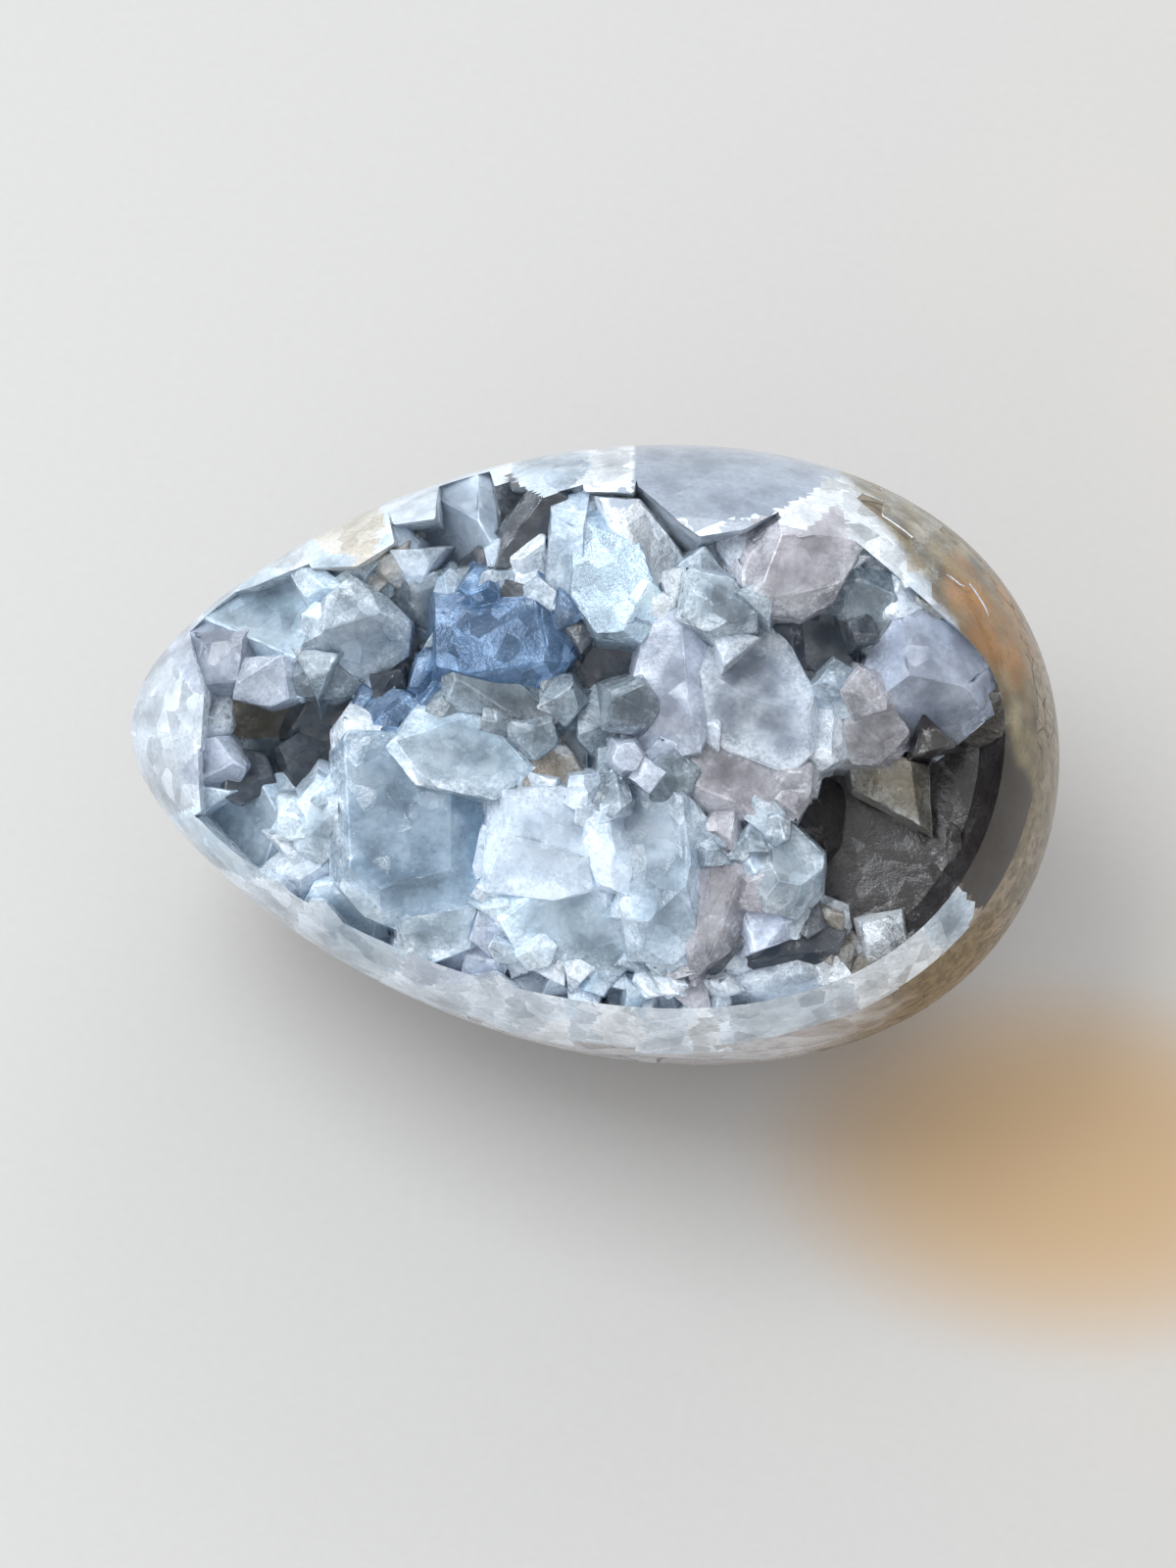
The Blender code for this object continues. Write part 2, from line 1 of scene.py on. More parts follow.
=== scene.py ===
"""The looks of a celestite geode that was ground and polished into an egg.

Places are in the frame of the opening, in millimetres from the egg's centre: u runs along the egg to
its blunt end, v across it and w out of the hollow. A finished mesh is in metres, in the row's frame.
"""

import functools
import json
import math
import random

import bmesh
import bpy
from bpy.props import FloatProperty, FloatVectorProperty, IntProperty, PointerProperty
from mathutils import Matrix, Vector, kdtree, noise

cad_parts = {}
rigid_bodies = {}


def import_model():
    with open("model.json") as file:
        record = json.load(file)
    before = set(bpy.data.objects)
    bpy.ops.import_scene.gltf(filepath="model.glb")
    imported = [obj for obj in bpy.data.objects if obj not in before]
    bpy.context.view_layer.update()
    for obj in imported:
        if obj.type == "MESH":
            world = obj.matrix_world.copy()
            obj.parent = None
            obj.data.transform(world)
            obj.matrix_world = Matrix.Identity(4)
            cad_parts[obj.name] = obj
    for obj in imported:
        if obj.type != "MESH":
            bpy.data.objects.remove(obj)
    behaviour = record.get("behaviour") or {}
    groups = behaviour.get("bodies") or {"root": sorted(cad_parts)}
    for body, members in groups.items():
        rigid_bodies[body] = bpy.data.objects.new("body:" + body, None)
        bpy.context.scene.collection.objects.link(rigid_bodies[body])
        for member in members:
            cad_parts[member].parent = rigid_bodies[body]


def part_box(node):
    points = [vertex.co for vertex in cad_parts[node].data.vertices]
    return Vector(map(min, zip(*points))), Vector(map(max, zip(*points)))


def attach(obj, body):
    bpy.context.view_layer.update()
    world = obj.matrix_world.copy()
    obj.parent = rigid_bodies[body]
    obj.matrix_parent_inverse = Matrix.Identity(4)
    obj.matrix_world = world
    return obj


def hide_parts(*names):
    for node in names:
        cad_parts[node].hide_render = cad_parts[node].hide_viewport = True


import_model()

bl_info = {
    "name": "Celestite Geode Egg",
    "version": (1, 0, 0),
    "blender": (4, 5, 0),
    "location": "3D View > Sidebar > Geode",
    "description": "Builds the shell, the crystals and the studio of a polished celestite egg",
    "category": "Add Mesh",
}

METRES_PER_MM = 0.001
SHELL_LOW, SHELL_HIGH = (corner / METRES_PER_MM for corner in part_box("egg_shell"))

# The egg
EGG_LENGTH = SHELL_HIGH.x - SHELL_LOW.x
EGG_GIRTH = 29.36
EGG_PROFILE = (1.0, 0.2166, -0.0289, 0.0845)
AXIS_HEIGHT = 28.8
OPENING_ELEVATION = 60.0

# The pan, the wide hollow that was opened by the grinding
RIM_HEIGHT = 7.0
RIM_TILT_TO_TIP = 12.0
RIM_TILT_BACK = 8.0
RIM_LENGTH_SHARE = 0.965
RIM_FRONT_SHARE = 0.945
RIM_BACK_SHARE = 1.0
RIM_DENT = 0.35
RIM_DENT_ANGLE = 30.0
RIM_DENT_WIDTH = 32.0
PAN_DEPTH = 8.0
PAN_TOP = 40.0
PAN_BULGE = 0.6
PAN_SEGMENTS = 120
PAN_STEPS = 12
FIT_GAP = 0.3
BED_THICKNESS = 2.2
BED_ALLOWANCE = 1.0

# The deep pit near the blunt end, an ellipsoid
PIT_CENTRE = (27.0, -8.0, 14.0)
PIT_HALF_SIZES = (8.5, 7.0, 9.5)
HOLLOWS = (
    ((-29.0, -0.5), (8.0, 6.0)),
    ((27.5, -7.0), (9.5, 9.0)),
)

# How the crystals are cut
CRYSTAL_ROOT = -14.0
INSIDE_SHARE = 0.72
OVERLAP = 0.9
SIDE_DROP = 3.0
DISH_DEPTH = 3.5
DISH_REACH = (38.0, 24.0)
FLARE_LEAST, FLARE_MOST = 3.0, 10.0
CHAMFER_SHARE = 0.35
CHAMFER_LEAST, CHAMFER_MOST = 0.3, 1.2
CHAMFER_TILT_LEAST, CHAMFER_TILT_MOST = 42.0, 64.0
SMALLEST_CHAMFERED_CRYSTAL = 3.0
KNOCK_SHARE = 0.4
KNOCK_TILT_LEAST, KNOCK_TILT_MOST = 30.0, 68.0
SPLIT_SHARE = 0.75
SPLIT_TILT_LEAST, SPLIT_TILT_MOST = 6.0, 20.0

# Crowns near the polished surface slope with it behind FOLLOW_V and towards the tip from FOLLOW_U
FOLLOW_V, FOLLOW_U, FOLLOW_SINK = -3.0, -25.0, 2.2
FOLLOW_SHARE, FOLLOW_MOST = 0.75, 1.0

SHARP_ANGLE = math.radians(14)
CREASE_ANGLE = math.radians(18)
REACH = 60.0
SEED = 11

# The small crystals that stand between the large ones
SMALL_RADIUS_LEAST, SMALL_RADIUS_MOST = 1.0, 2.3
SMALL_SINK_LEAST, SMALL_SINK_MOST = 3.5, 8.0
SMALL_SIDES = 5
SMALL_SPREAD = 0.93
SMALL_TILT_LEAST, SMALL_TILT_MOST = 25.0, 50.0
SMALL_RIDGE = 0.3
FILLER_COUNT = 1000
FILLER_RADIUS_LEAST, FILLER_RADIUS_MOST = 0.7, 1.9
FILLER_DROP_LEAST, FILLER_DROP_MOST = 0.3, 2.6
FILLER_MARGIN = 0.3
FILLER_REACH = 1.8
CHIP_COUNT = 66
CHIP_RADIUS_LEAST, CHIP_RADIUS_MOST = 1.6, 3.2
CHIP_SHARES = (0.985, 0.90)
CHIP_LEAN = 0.28
FRONT_LOW, FRONT_HIGH = -12.0, 34.0
OWNERS_TRIED = 9
FILLER_TILTS = ((8, 40), (15, 45))
KNOCK_DEPTH_LEAST, KNOCK_DEPTH_MOST = 0.2, 1.4
SPLIT_REACH_LEAST, SPLIT_REACH_MOST = 0.1, 0.5
HEART_REACH = 3.0
# The depth below the dished egg at which the crystals' painted shade is darkest
FULL_SHADE_DEPTH = 14.0
GOLDEN_ANGLE = math.pi * (3 - math.sqrt(5))

# The grinding: the crystals that were cut stand this far proud of the shell, so that the two never
# share a face, and they reach down its side to an uneven line
GROUND_PROUD = 0.06
ON_EGG_ALLOWANCE = 0.02

# Where the ground stone turns to rind, and where iron stained it
RIND_START = Vector((28.0, 17.5))
RIND_OUTWARD = Vector((0.834, 0.551))
RIND_WIDTH = 1.5
STAIN_CENTRE = Vector((35.5, 13.8))
STAIN_HALF_LENGTH, STAIN_HALF_WIDTH = 6.0, 2.2

# A crystal whose top lies less deep than this was ground, and its outline is drawn out past the rim
GROUND_SINK = 2.5
RIM_SKIRT_LEAST, RIM_SKIRT_MOST = 0.5, 3.5
NEAR_RIM_SHARE = 0.80
RIM_STRETCH = 2.0
COLLAR_OUT, COLLAR_IN, COLLAR_SKIRT = 1.2, 1.6, 1.2

# Each crystal: name, look, depth of its top below the polished egg, outline, crown faces.
# An outline lists (u, v) corners. A crown face is the direction that it leans to, its tilt from w,
# and how far from the crystal's middle it starts to fall.
CRYSTALS = (
    ("tip_upper", "frost", -2, ((-46, -2), (-44, 8), (-38.5, 10), (-37, 3), (-37, -2)), ()),
    ("tip_lower", "frost", -2, ((-46, 0), (-37, -0.5), (-36.8, -8), (-41, -11), (-46, -4)), ()),
    ("a1", "lavender", 1, ((-40, 10), (-36, 13), (-33.3, 9), (-33, 5), (-35, 1.5), (-38, 2.5)),
     ((200, 20, 0), (320, 30, 2))),
    ("a2", "ice", 0.5,
     ((-35.5, 12), (-33, 16), (-28, 15.5), (-25.8, 12), (-27, 7.5), (-30.5, 5), (-34.5, 6.5)),
     ((120, 15, 0), (250, 35, 3), (0, 30, 3.5))),
    ("a3", "mist", 2.5,
     ((-23.5, 14), (-21, 12.5), (-18.6, 10.5), (-18.8, 8.2), (-20.3, 7), (-23.7, 5.6), (-27.5, 6.8),
      (-25.5, 12)), ((100, 25, 0), (282, 42, 0))),
    ("a4", "lavender", 4, ((-33, 6), (-29.5, 6.5), (-28.5, 4), (-31, 3), (-33.5, 3.5)), ((250, 30, 0),)),
    ("a5", "sea", 6, ((-28.5, 6), (-24, 6.5), (-22, 5), (-25, 4), (-28, 4.2)), ((270, 40, 0),)),
    ("a7", "frost", 1.2, ((-41, 2), (-38, 4), (-35.5, 3.5), (-35, 0.5), (-37, -2), (-40.5, -1)),
     ((0, 24, 0), (110, 18, 1))),
    ("a8", "ice", 1.5, ((-41, -2), (-37.5, -2), (-37, -6.5), (-39.5, -8)), ((20, 22, 0), (200, 15, 1))),
    ("rim_1", "frost", -2, ((-38, 12), (-33, 20), (-27, 22), (-26, 16), (-33, 13.5)), ()),
    ("rim_2", "cream", -1.5, ((-27.5, 15.5), (-27, 23), (-20.5, 25), (-19.5, 18), (-23, 15.5)), ()),
    ("a6", "ice", 1, ((-27, 13), (-23.5, 14), (-21.5, 17), (-26.5, 17.5)), ((60, 20, 0),)),
    ("b1", "milk", 0, ((-20.5, 18), (-20, 25), (-12, 28), (-8, 26), (-8.7, 18.5), (-12, 15.5), (-17, 16)),
     ((250, 22, 3),)),
    ("b1_facet", "frost", -1, ((-20, 20), (-19, 26), (-15.5, 26), (-16, 20.5)), ()),
    ("b4", "sea", 8, ((-19.5, 14), (-15, 15.5), (-13.8, 12.5), (-15, 9.5), (-18.5, 10.5)), ((300, 20, 0),)),
    ("b5", "slate", 11, ((-20.5, 9), (-16, 9.5), (-14.8, 6), (-16.5, 3.5), (-20.5, 4.5)), ((10, 15, 0),)),
    ("b2", "slate", 4, ((-10, 15), (-8.8, 20.5), (-5.8, 25.5), (-2.8, 23), (-3.3, 17), (-5, 15)),
     ((320, 25, 0),)),
    ("b2_chip", "frost", 3.5, ((-8.3, 16.5), (-8, 19.5), (-6.3, 19), (-6, 16.5)),
     ((130, 45, 0), (310, 40, 0.3))),
    ("rim_3", "mist", -2, ((-9, 24), (-9, 30), (-1, 32), (-1, 25), (-5, 23.5)), ()),
    ("c1", "blue", 5, ((-14.8, 12.6), (-8.5, 13.9), (-3.5, 12.5), (-2, 9.5), (-4, 6.5), (-9, 4), (-14.7, 3)),
     ((105, 16, 0), (280, 25, 3))),
    ("c2", "sea", 5.5, ((-14, 6.5), (-9, 8.2), (-3.5, 4.2), (-4, 2.5), (-13.5, 3.5)),
     ((60, 12, 0), (240, 30, 2))),
    ("c3", "mist", 3, ((-4.8, 12), (-4.6, 22), (-2.6, 23), (-2.2, 12.5)), ((180, 30, 0),)),
    ("c4", "glint", 2.5,
     ((-2.3, 22.5), (0, 22), (2, 20), (4.5, 15), (5.5, 12.8), (3.5, 10.2), (0, 10.3), (-2.5, 14)),
     ((128, 22, 0),)),
    ("c5", "sugar", 3.0, ((0, 22.5), (2.5, 22.5), (5, 19.8), (7.4, 16.5), (5.6, 13), (3, 15)),
     ((20, 35, 0),)),
    ("c6", "sugar", -1, ((-2.5, 23.5), (-3.5, 32), (3, 32), (2.5, 23.5)), ()),
    ("k1", "haze", -1,
     ((1, 29), (5, 31.5), (12, 31.5), (16, 29), (19.5, 25.5), (20, 23), (16, 21), (13.5, 19), (8, 17.5),
      (5.5, 19.5), (1.5, 24)), ()),
    ("k2", "clear", 1.6, ((7.5, 12.5), (8, 16.5), (11.5, 17.5), (13.8, 15.5), (13.5, 12), (10.5, 10.8)),
     ((45, 20, 0), (225, 25, 1.5))),
    ("k3", "plum", 0.9, ((13.5, 16), (14.5, 20), (18, 21.5), (21, 19.5), (20.5, 15), (18, 13.5), (15, 13.5)),
     ((290, 20, 0),)),
    ("k4", "slate", 7, ((14.8, 12), (18.3, 13.5), (19, 7)), ((200, 30, 0),)),
    ("k5", "slate", 8, ((19, 13.5), (21, 15), (24.8, 10.5), (25, 7), (19.5, 7)), ((0, 12, 0),)),
    ("k6", "sea", 4, ((21.5, 15), (22, 17.5), (26, 17), (26.8, 12.5), (25, 10.5)), ((200, 20, 0),)),
    ("k7", "sugar", 0.5, ((16, 29), (19.5, 28), (22, 25), (19, 22.5)), ((240, 20, 0),)),
    ("k8", "sugar", 1.5, ((20, 24), (24, 24), (24.5, 19), (20.5, 19)), ((60, 15, 0),)),
    ("k9", "sugar", 1, ((24, 23), (27, 21), (27.5, 16), (24, 17)), ((220, 25, 0),)),
    ("k10", "frost", 0.5, ((26.2, 17.5), (30, 17.5), (30.5, 13.8), (26.5, 13.8)), ((130, 15, 0),)),
    ("l1", "lavender", 1.5,
     ((26, 14), (30, 15.5), (34, 16), (35.5, 10), (34.5, 5), (31.8, 1.8), (28, 3.5), (25, 9)),
     ((150, 15, 0), (300, 30, 3))),
    ("l2", "olive", -1, ((34, 13), (38, 15), (44, 9), (44, 2), (40, 3.5), (36.5, 5)), ()),
    ("l3", "earth", 3, ((34.5, 6.5), (37, 7), (40, 5.5), (36, 3), (33.5, 4)), ((280, 25, 0),)),
    ("n1", "haze", 5, ((10.5, 9.5), (14.5, 12), (16.5, 10.5), (19.8, 5), (20, 1.5), (18, -0.5), (12.5, 1),
                       (9, 4)), ((250, 10, 0), (60, 30, 3))),
    ("n2", "lavender", 5, ((4.5, 11), (7.5, 13), (10, 10.5), (9.8, 3), (9.3, 0.5), (5, -0.5), (3, 0)),
     ((200, 20, 0), (20, 30, 1.5))),
    ("n3", "slate", 9, ((-2, 10.5), (1, 10.5), (4.5, 10), (4, 6.5), (0, 5.5), (-3, 7)), ((270, 15, 0),)),
    ("n5", "clear", 7.5, ((-1, 4), (1, 6), (3, 4), (2.8, 0.5), (0.8, -0.5), (-1, 1)),
     ((120, 30, 0), (300, 30, 0))),
    ("n6", "sea", 10, ((-5, 2.5), (-2, 4), (0, 2), (0, -2), (-4, -2)), ((200, 15, 0),)),
    ("n7", "tan", 7, ((-6.5, -1), (-3, -0.5), (-1, -3), (-3.5, -4.5), (-6.5, -4)), ((60, 25, 0),)),
    ("n8", "plum", 6, ((9.5, 0.5), (12, 1.5), (17, -0.5), (17, -4), (13, -5.5), (9, -4)), ((80, 15, 0),)),
    ("n9", "frost", 6, ((20, 5), (22.5, 5), (23, 1), (20.5, -0.5)), ((150, 25, 0),)),
    ("n10", "plum", 6, ((22, 6), (26, 7), (28.5, 3), (27.5, 0.5), (22.5, 0.5)), ((250, 20, 0),)),
    ("h2", "olive", 8, ((24.5, 0), (27, 0.8), (30.5, -0.5), (31, -5), (25, -2)), ((210, 20, 0),)),
    ("e0", "ice", 4.5, ((-18.5, -1), (-16, 2.5), (-10, 3), (-6.5, 0.5), (-5.8, -3), (-9, -5), (-16, -4)),
     ((80, 30, 0),)),
    ("e1", "pool", 2,
     ((-23.5, -2), (-22.5, -0.5), (-15, -0.3), (-11, -4.5), (-9.3, -7), (-8.6, -10), (-8.8, -13),
      (-12, -16), (-16, -17.5), (-20, -16), (-23, -13)), ((120, 8, 0), (0, 35, 5.5), (270, 30, 6))),
    ("e2", "ice", 0.3, ((-25, -14), (-22, -13.5), (-16, -17), (-15, -20), (-19, -22.5), (-24, -19.5)),
     ((245, 33, 0), (300, 36, 2))),
    ("e3", "ice", 2, ((-17, -16.5), (-12, -14.5), (-8.6, -15.5), (-9.5, -18), (-15, -19.5)),
     ((265, 25, 0), (90, 15, 1))),
    ("e4", "blue", 6, ((-22, 1), (-19.5, 3.8), (-15, 3), (-14.5, 0), (-19, -0.8)), ((110, 20, 0),)),
    ("e5", "frost", 5, ((-24, 0), (-22.8, 2), (-20.5, 1), (-21.5, -1), (-23.8, -1.8)), ((140, 30, 0),)),
    ("e6", "lavender", 1.6, ((-17, -18.5), (-9.5, -17.5), (-8.5, -21), (-14, -22)),
     ((265, 30, 0), (300, 38, 1))),
    ("e7", "frost", -0.5, ((-10.5, -22.5), (-8, -21.5), (-6.2, -22.8), (-7, -25), (-10, -25)), ()),
    ("f1", "milk", 3, ((-8.7, -5), (-3, -4.3), (-0.5, -5), (1.5, -9), (2, -12), (-3, -13.5), (-8.7, -13)),
     ((90, 10, 0), (300, 20, 3))),
    ("f2", "ice", 2, ((-8, -15), (-6, -12.5), (0, -11.5), (3.5, -15), (4.8, -18.5), (3, -20), (-5.5, -18.5)),
     ((100, 22, 0), (280, 30, 2))),
    ("g1", "milk", 2.5, ((0.3, -5), (2, -4.5), (3.8, -9), (3.3, -12.5), (1.5, -12), (0, -9)),
     ((150, 25, 0),)),
    ("g2", "mist", 2, ((1.8, -5), (2, -3), (4, -2.2), (6.5, -3.3), (8.8, -5), (10, -8), (10, -13),
                       (9.5, -17), (8, -18.5), (5, -18.5), (3.3, -12)),
     ((70, 12, 0), (280, 22, 4), (180, 35, 2.5))),
    ("g3", "plum", 3, ((9.8, -9), (13, -8.5), (14.5, -12), (13.5, -17), (10.5, -19.5), (9.3, -16)),
     ((0, 25, 0), (180, 30, 1))),
    ("h1", "clear", 3.5, ((14.5, -9), (17.3, -6), (20.8, -9), (20.8, -12), (19.5, -13.8), (15.5, -13.3)),
     ((60, 35, 0), (180, 25, 0), (300, 35, 0))),
    ("h3", "lavender", 5, ((13.5, -13), (18.5, -13.5), (18.5, -16), (14, -18)), ((100, 20, 0),)),
    ("j1", "slate", 5, ((14, -18.5), (18.5, -15.5), (21.5, -14.8), (23.5, -16), (22.5, -20), (15, -20)),
     ((100, 20, 0), (280, 30, 1))),
    ("j2", "frost", 0, ((12.5, -21), (17.5, -19.7), (21, -18.3), (24, -22), (20, -25), (12, -26)),
     ((275, 34, 0), (240, 40, 2))),
    ("j3", "frost", 0, ((5.5, -22.5), (10.8, -22), (11, -26), (6, -26.5)), ((265, 38, 0), (300, 42, 1))),
    ("rim_4", "frost", 0.3, ((-7, -20.5), (-1, -20.5), (-1.5, -24.5), (-6.5, -24)),
     ((70, 22, 0), (250, 15, 1))),
    ("j4", "sugar", 1, ((23.5, -16), (26.5, -16), (28, -19), (26, -23), (23, -22)), ((140, 20, 0),)),
    ("j5", "sugar", 0.5, ((27, -17), (31, -15.5), (33.5, -17.5), (33, -22), (27.5, -24)), ((60, 15, 0),)),
    ("j6", "mist", 2, ((31.5, -16), (33.2, -10), (35, -13), (36.5, -16.5)), ((200, 35, 0), (20, 35, 0))),
    ("j7", "tan", -0.5, ((35, -14), (39, -12.5), (42, -14), (39, -22), (32.5, -24)), ()),
    ("d1", "ice", 0.8,
     ((-38.5, -8), (-33, -5.7), (-30, -4.8), (-27, -7.7), (-27.5, -10.5), (-28.5, -13.5), (-33, -14.8),
      (-39, -10)), ((60, 25, 0), (180, 20, 0), (290, 20, 1))),
    ("d2", "ice", 2, ((-27, -7), (-25.5, -4.8), (-23.7, -5.5), (-23.3, -10), (-25, -11.5), (-26.8, -10.5)),
     ((160, 20, 0),)),
    ("d3", "frost", 1, ((-28.5, -13.5), (-27.5, -11), (-23.8, -10.8), (-23.5, -14), (-26, -15.5)),
     ((240, 22, 0),)),
    ("d4", "lavender", 2, ((-38, -2.5), (-35, -1.5), (-33.5, -3.5), (-34.5, -6), (-38, -6.5)),
     ((20, 20, 0),)),
    ("d5", "slate", 6, ((-35, -2.5), (-32, -3), (-31, -5), (-33.5, -6.5), (-35.5, -5.5)), ((40, 30, 0),)),
    ("rim_5", "frost", -2, ((-42, -7), (-37, -8.5), (-31, -13.5), (-32, -19), (-42, -13)), ()),
    ("rim_6", "frost", -2, ((-33, -14), (-28.5, -13), (-26, -15.5), (-26, -22), (-33, -19)), ()),
    ("rim_7", "frost", -2, ((-26, -15), (-24, -15), (-19, -21), (-19, -25.5), (-26, -22)), ()),
    ("rim_8", "frost", -1, ((-19, -22), (-14, -21.5), (-10, -22.5), (-9, -27), (-19, -25.5)), ()),
    ("m1", "slate", 11, ((-30, -2), (-28, -0.5), (-25.5, -1.5), (-25, -5), (-28, -6), (-30, -4.5)),
     ((60, 30, 0), (240, 30, 0))),
    ("m2", "smoke", 2, ((33.5, 3.5), (40, 5.3), (41.5, -1), (42, -5), (41.5, -11), (39, -13.5), (35.5, -14),
                        (31.5, -6), (31, 0)), ((190, 18, 0),)),
)

# The dark crystals on the floor and the walls of the two hollows
HOLLOW_CRYSTALS = (
    ("smoke", 10, ((15.5, -5), (21, -2), (23, -3), (22.5, -9), (20, -13), (16.5, -10)),
     ((330, 30, 0), (20, 40, 1))),
    ("smoke", 13.5, ((22, -2.5), (30, -3.5), (31, -8), (24, -9)), ((250, 20, 0), (120, 30, 1.5))),
    ("smoke", 12, ((19.5, -11), (24, -9), (24.3, -16.5), (20, -16)), ((20, 25, 0), (200, 35, 1))),
    ("smoke", 13, ((24, -8.5), (31, -8), (32, -15), (28, -17), (24.3, -16.5)),
     ((120, 25, 0), (300, 25, 1.5))),
    ("smoke", 8.5, ((29.5, -2), (34, -6), (35, -13), (31.5, -14), (29.5, -8)),
     ((190, 35, 0), (150, 45, 1))),
    ("smoke", 15, ((21.5, -7), (25.5, -6), (27, -10), (23, -12)), ((80, 35, 0), (260, 30, 0.5))),
    ("olive", 9, ((-34.5, 4), (-31, 4), (-29.5, 2), (-32.5, -2), (-35.5, -1)), ((315, 50, 0),)),
    ("slate", 13, ((-29, 4), (-22, 5), (-20, 2), (-24, -1), (-29.5, 0)), ((270, 25, 0),)),
    ("sea", 12, ((-34, -1), (-30, 0), (-29, -4), (-32, -5)), ((20, 35, 0),)),
)

# Each lamp: name, direction from the egg, distance, size, share of the window's power and tint
LAMPS = (
    ("window", (-0.43, 0.12, 0.90), 0.55, (0.34, 0.26), 1.0, (0.93, 0.97, 1.0)),
    ("side window", (-1.0, 0.25, 0.45), 0.7, (0.5, 0.35), 0.8, (0.85, 0.93, 1.0)),
    ("back window", (0.35, 1.0, 0.75), 0.7, (0.5, 0.2), 0.5, (0.92, 0.96, 1.0)),
    ("front window", (-0.45, -0.85, 0.60), 0.7, (0.4, 0.15), 0.3, (0.95, 0.97, 1.0)),
)
FLOOR_HALF_SIZE = 3.0
CAMERA_ROLL = math.radians(3.26)
CAMERA_AIM_U, CAMERA_AIM_V = -0.00042, -0.00334
CAMERA_LENS, CAMERA_SENSOR = 85.0, 36.0

# The optics of clear celestite and of polished stone
CELESTITE_IOR, STONE_IOR = 1.63, 1.55
ABSORPTION_COLOUR, ABSORPTION_DENSITY = (0.50, 0.70, 0.88, 1.0), 50.0

# Each look: how much light it sends back from inside instead of letting it through, how much it
# mirrors the lamps from cleavage planes, the slope of its flakes and of its grit, how cloudy it is,
# how much of it is shattered and how white it is where it was ground
LOOKS = {
    "ice": (0.66, 0.0, 0.22, 0.04, 0.6, 0.5, 1.0), "milk": (0.80, 0.0, 0.10, 0.03, 0.5, 0.3, 1.0),
    "mist": (0.60, 0.0, 0.24, 0.05, 0.5, 0.4, 0.8), "lavender": (0.68, 0.0, 0.18, 0.04, 0.4, 0.35, 0.8),
    "haze": (0.92, 0.0, 0.04, 0.01, 0.8, 0.1, 0.05), "plum": (0.66, 0.0, 0.22, 0.08, 0.4, 0.4, 0.5),
    "pool": (0.58, 0.0, 0.12, 0.04, 0.6, 0.4, 0.5), "blue": (0.5, 0.22, 0.45, 0.20, 0.25, 0.2, 0.3),
    "glint": (0.95, 0.5, 0.45, 0.60, 0.1, 0.0, 0.3), "clear": (0.48, 0.04, 0.25, 0.05, 0.6, 0.45, 0.8),
    "sea": (0.50, 0.0, 0.25, 0.08, 0.4, 0.3, 0.5), "slate": (0.6, 0.0, 0.15, 0.06, 0.2, 0.1, 0.2),
    "smoke": (0.8, 0.0, 0.2, 0.12, 0.03, 0.0, 0.02), "frost": (0.80, 0.03, 0.30, 0.20, 0.7, 0.9, 0.75),
    "sugar": (0.82, 0.04, 0.45, 0.35, 0.7, 1.1, 1.0), "cream": (0.9, 0.0, 0.2, 0.2, 0.5, 0.8, 0.6),
    "olive": (0.8, 0.0, 0.2, 0.15, 0.3, 0.3, 0.08), "tan": (0.86, 0.0, 0.25, 0.25, 0.4, 0.5, 0.15),
    "earth": (0.9, 0.0, 0.25, 0.3, 0.2, 0.2, 0.05),
}


def colour(name, description, default):
    return FloatVectorProperty(name=name, description=description, default=default, subtype="COLOR",
                               size=3, min=0.0, max=1.0)


class GeodeColours(bpy.types.PropertyGroup):
    """The colours of the crystals and the shell."""

    ice: colour("Ice", "Pale blue crystals", (0.6, 0.79, 0.95))
    milk: colour("Milk", "Cloudy white crystals", (0.64, 0.77, 0.92))
    mist: colour("Mist", "Grey-blue crystals", (0.47, 0.61, 0.75))
    lavender: colour("Lavender", "Grey crystals with a violet tinge", (0.58, 0.66, 0.83))
    haze: colour("Haze", "The large smooth blue-grey faces", (0.4, 0.47, 0.58))
    plum: colour("Plum", "Dull grey crystals with a pink tinge", (0.5, 0.48, 0.53))
    pool: colour("Pool", "The large rounded crystal", (0.42, 0.62, 0.82))
    blue: colour("Blue", "Deep blue crystals", (0.1, 0.26, 0.52))
    glint: colour("Glint", "The bright blue-white face", (0.66, 0.84, 1.0))
    clear: colour("Clear", "Crystals that are nearly clear", (0.56, 0.71, 0.84))
    sea: colour("Sea", "Grey-green crystals in the depth", (0.26, 0.35, 0.42))
    slate: colour("Slate", "Dark blue-grey crystals", (0.042, 0.052, 0.068))
    smoke: colour("Smoke", "Dark crystals of the deep pit", (0.03, 0.023, 0.022))
    frost: colour("Frost", "Ground white crystals of the rim", (0.7, 0.8, 0.92))
    sugar: colour("Sugar", "Broken white crystals", (0.8, 0.85, 0.9))
    cream: colour("Cream", "Stained white crystals", (0.66, 0.6, 0.5))
    olive: colour("Olive", "Olive rind", (0.2, 0.165, 0.095))
    tan: colour("Tan", "Light brown rind", (0.33, 0.265, 0.19))
    earth: colour("Earth", "Dark brown rind", (0.1, 0.075, 0.05))
    rust: colour("Rust", "Iron stain", (0.42, 0.2, 0.055))
    band: colour("Band", "The shell's pale grey stone", (0.43, 0.40, 0.40))


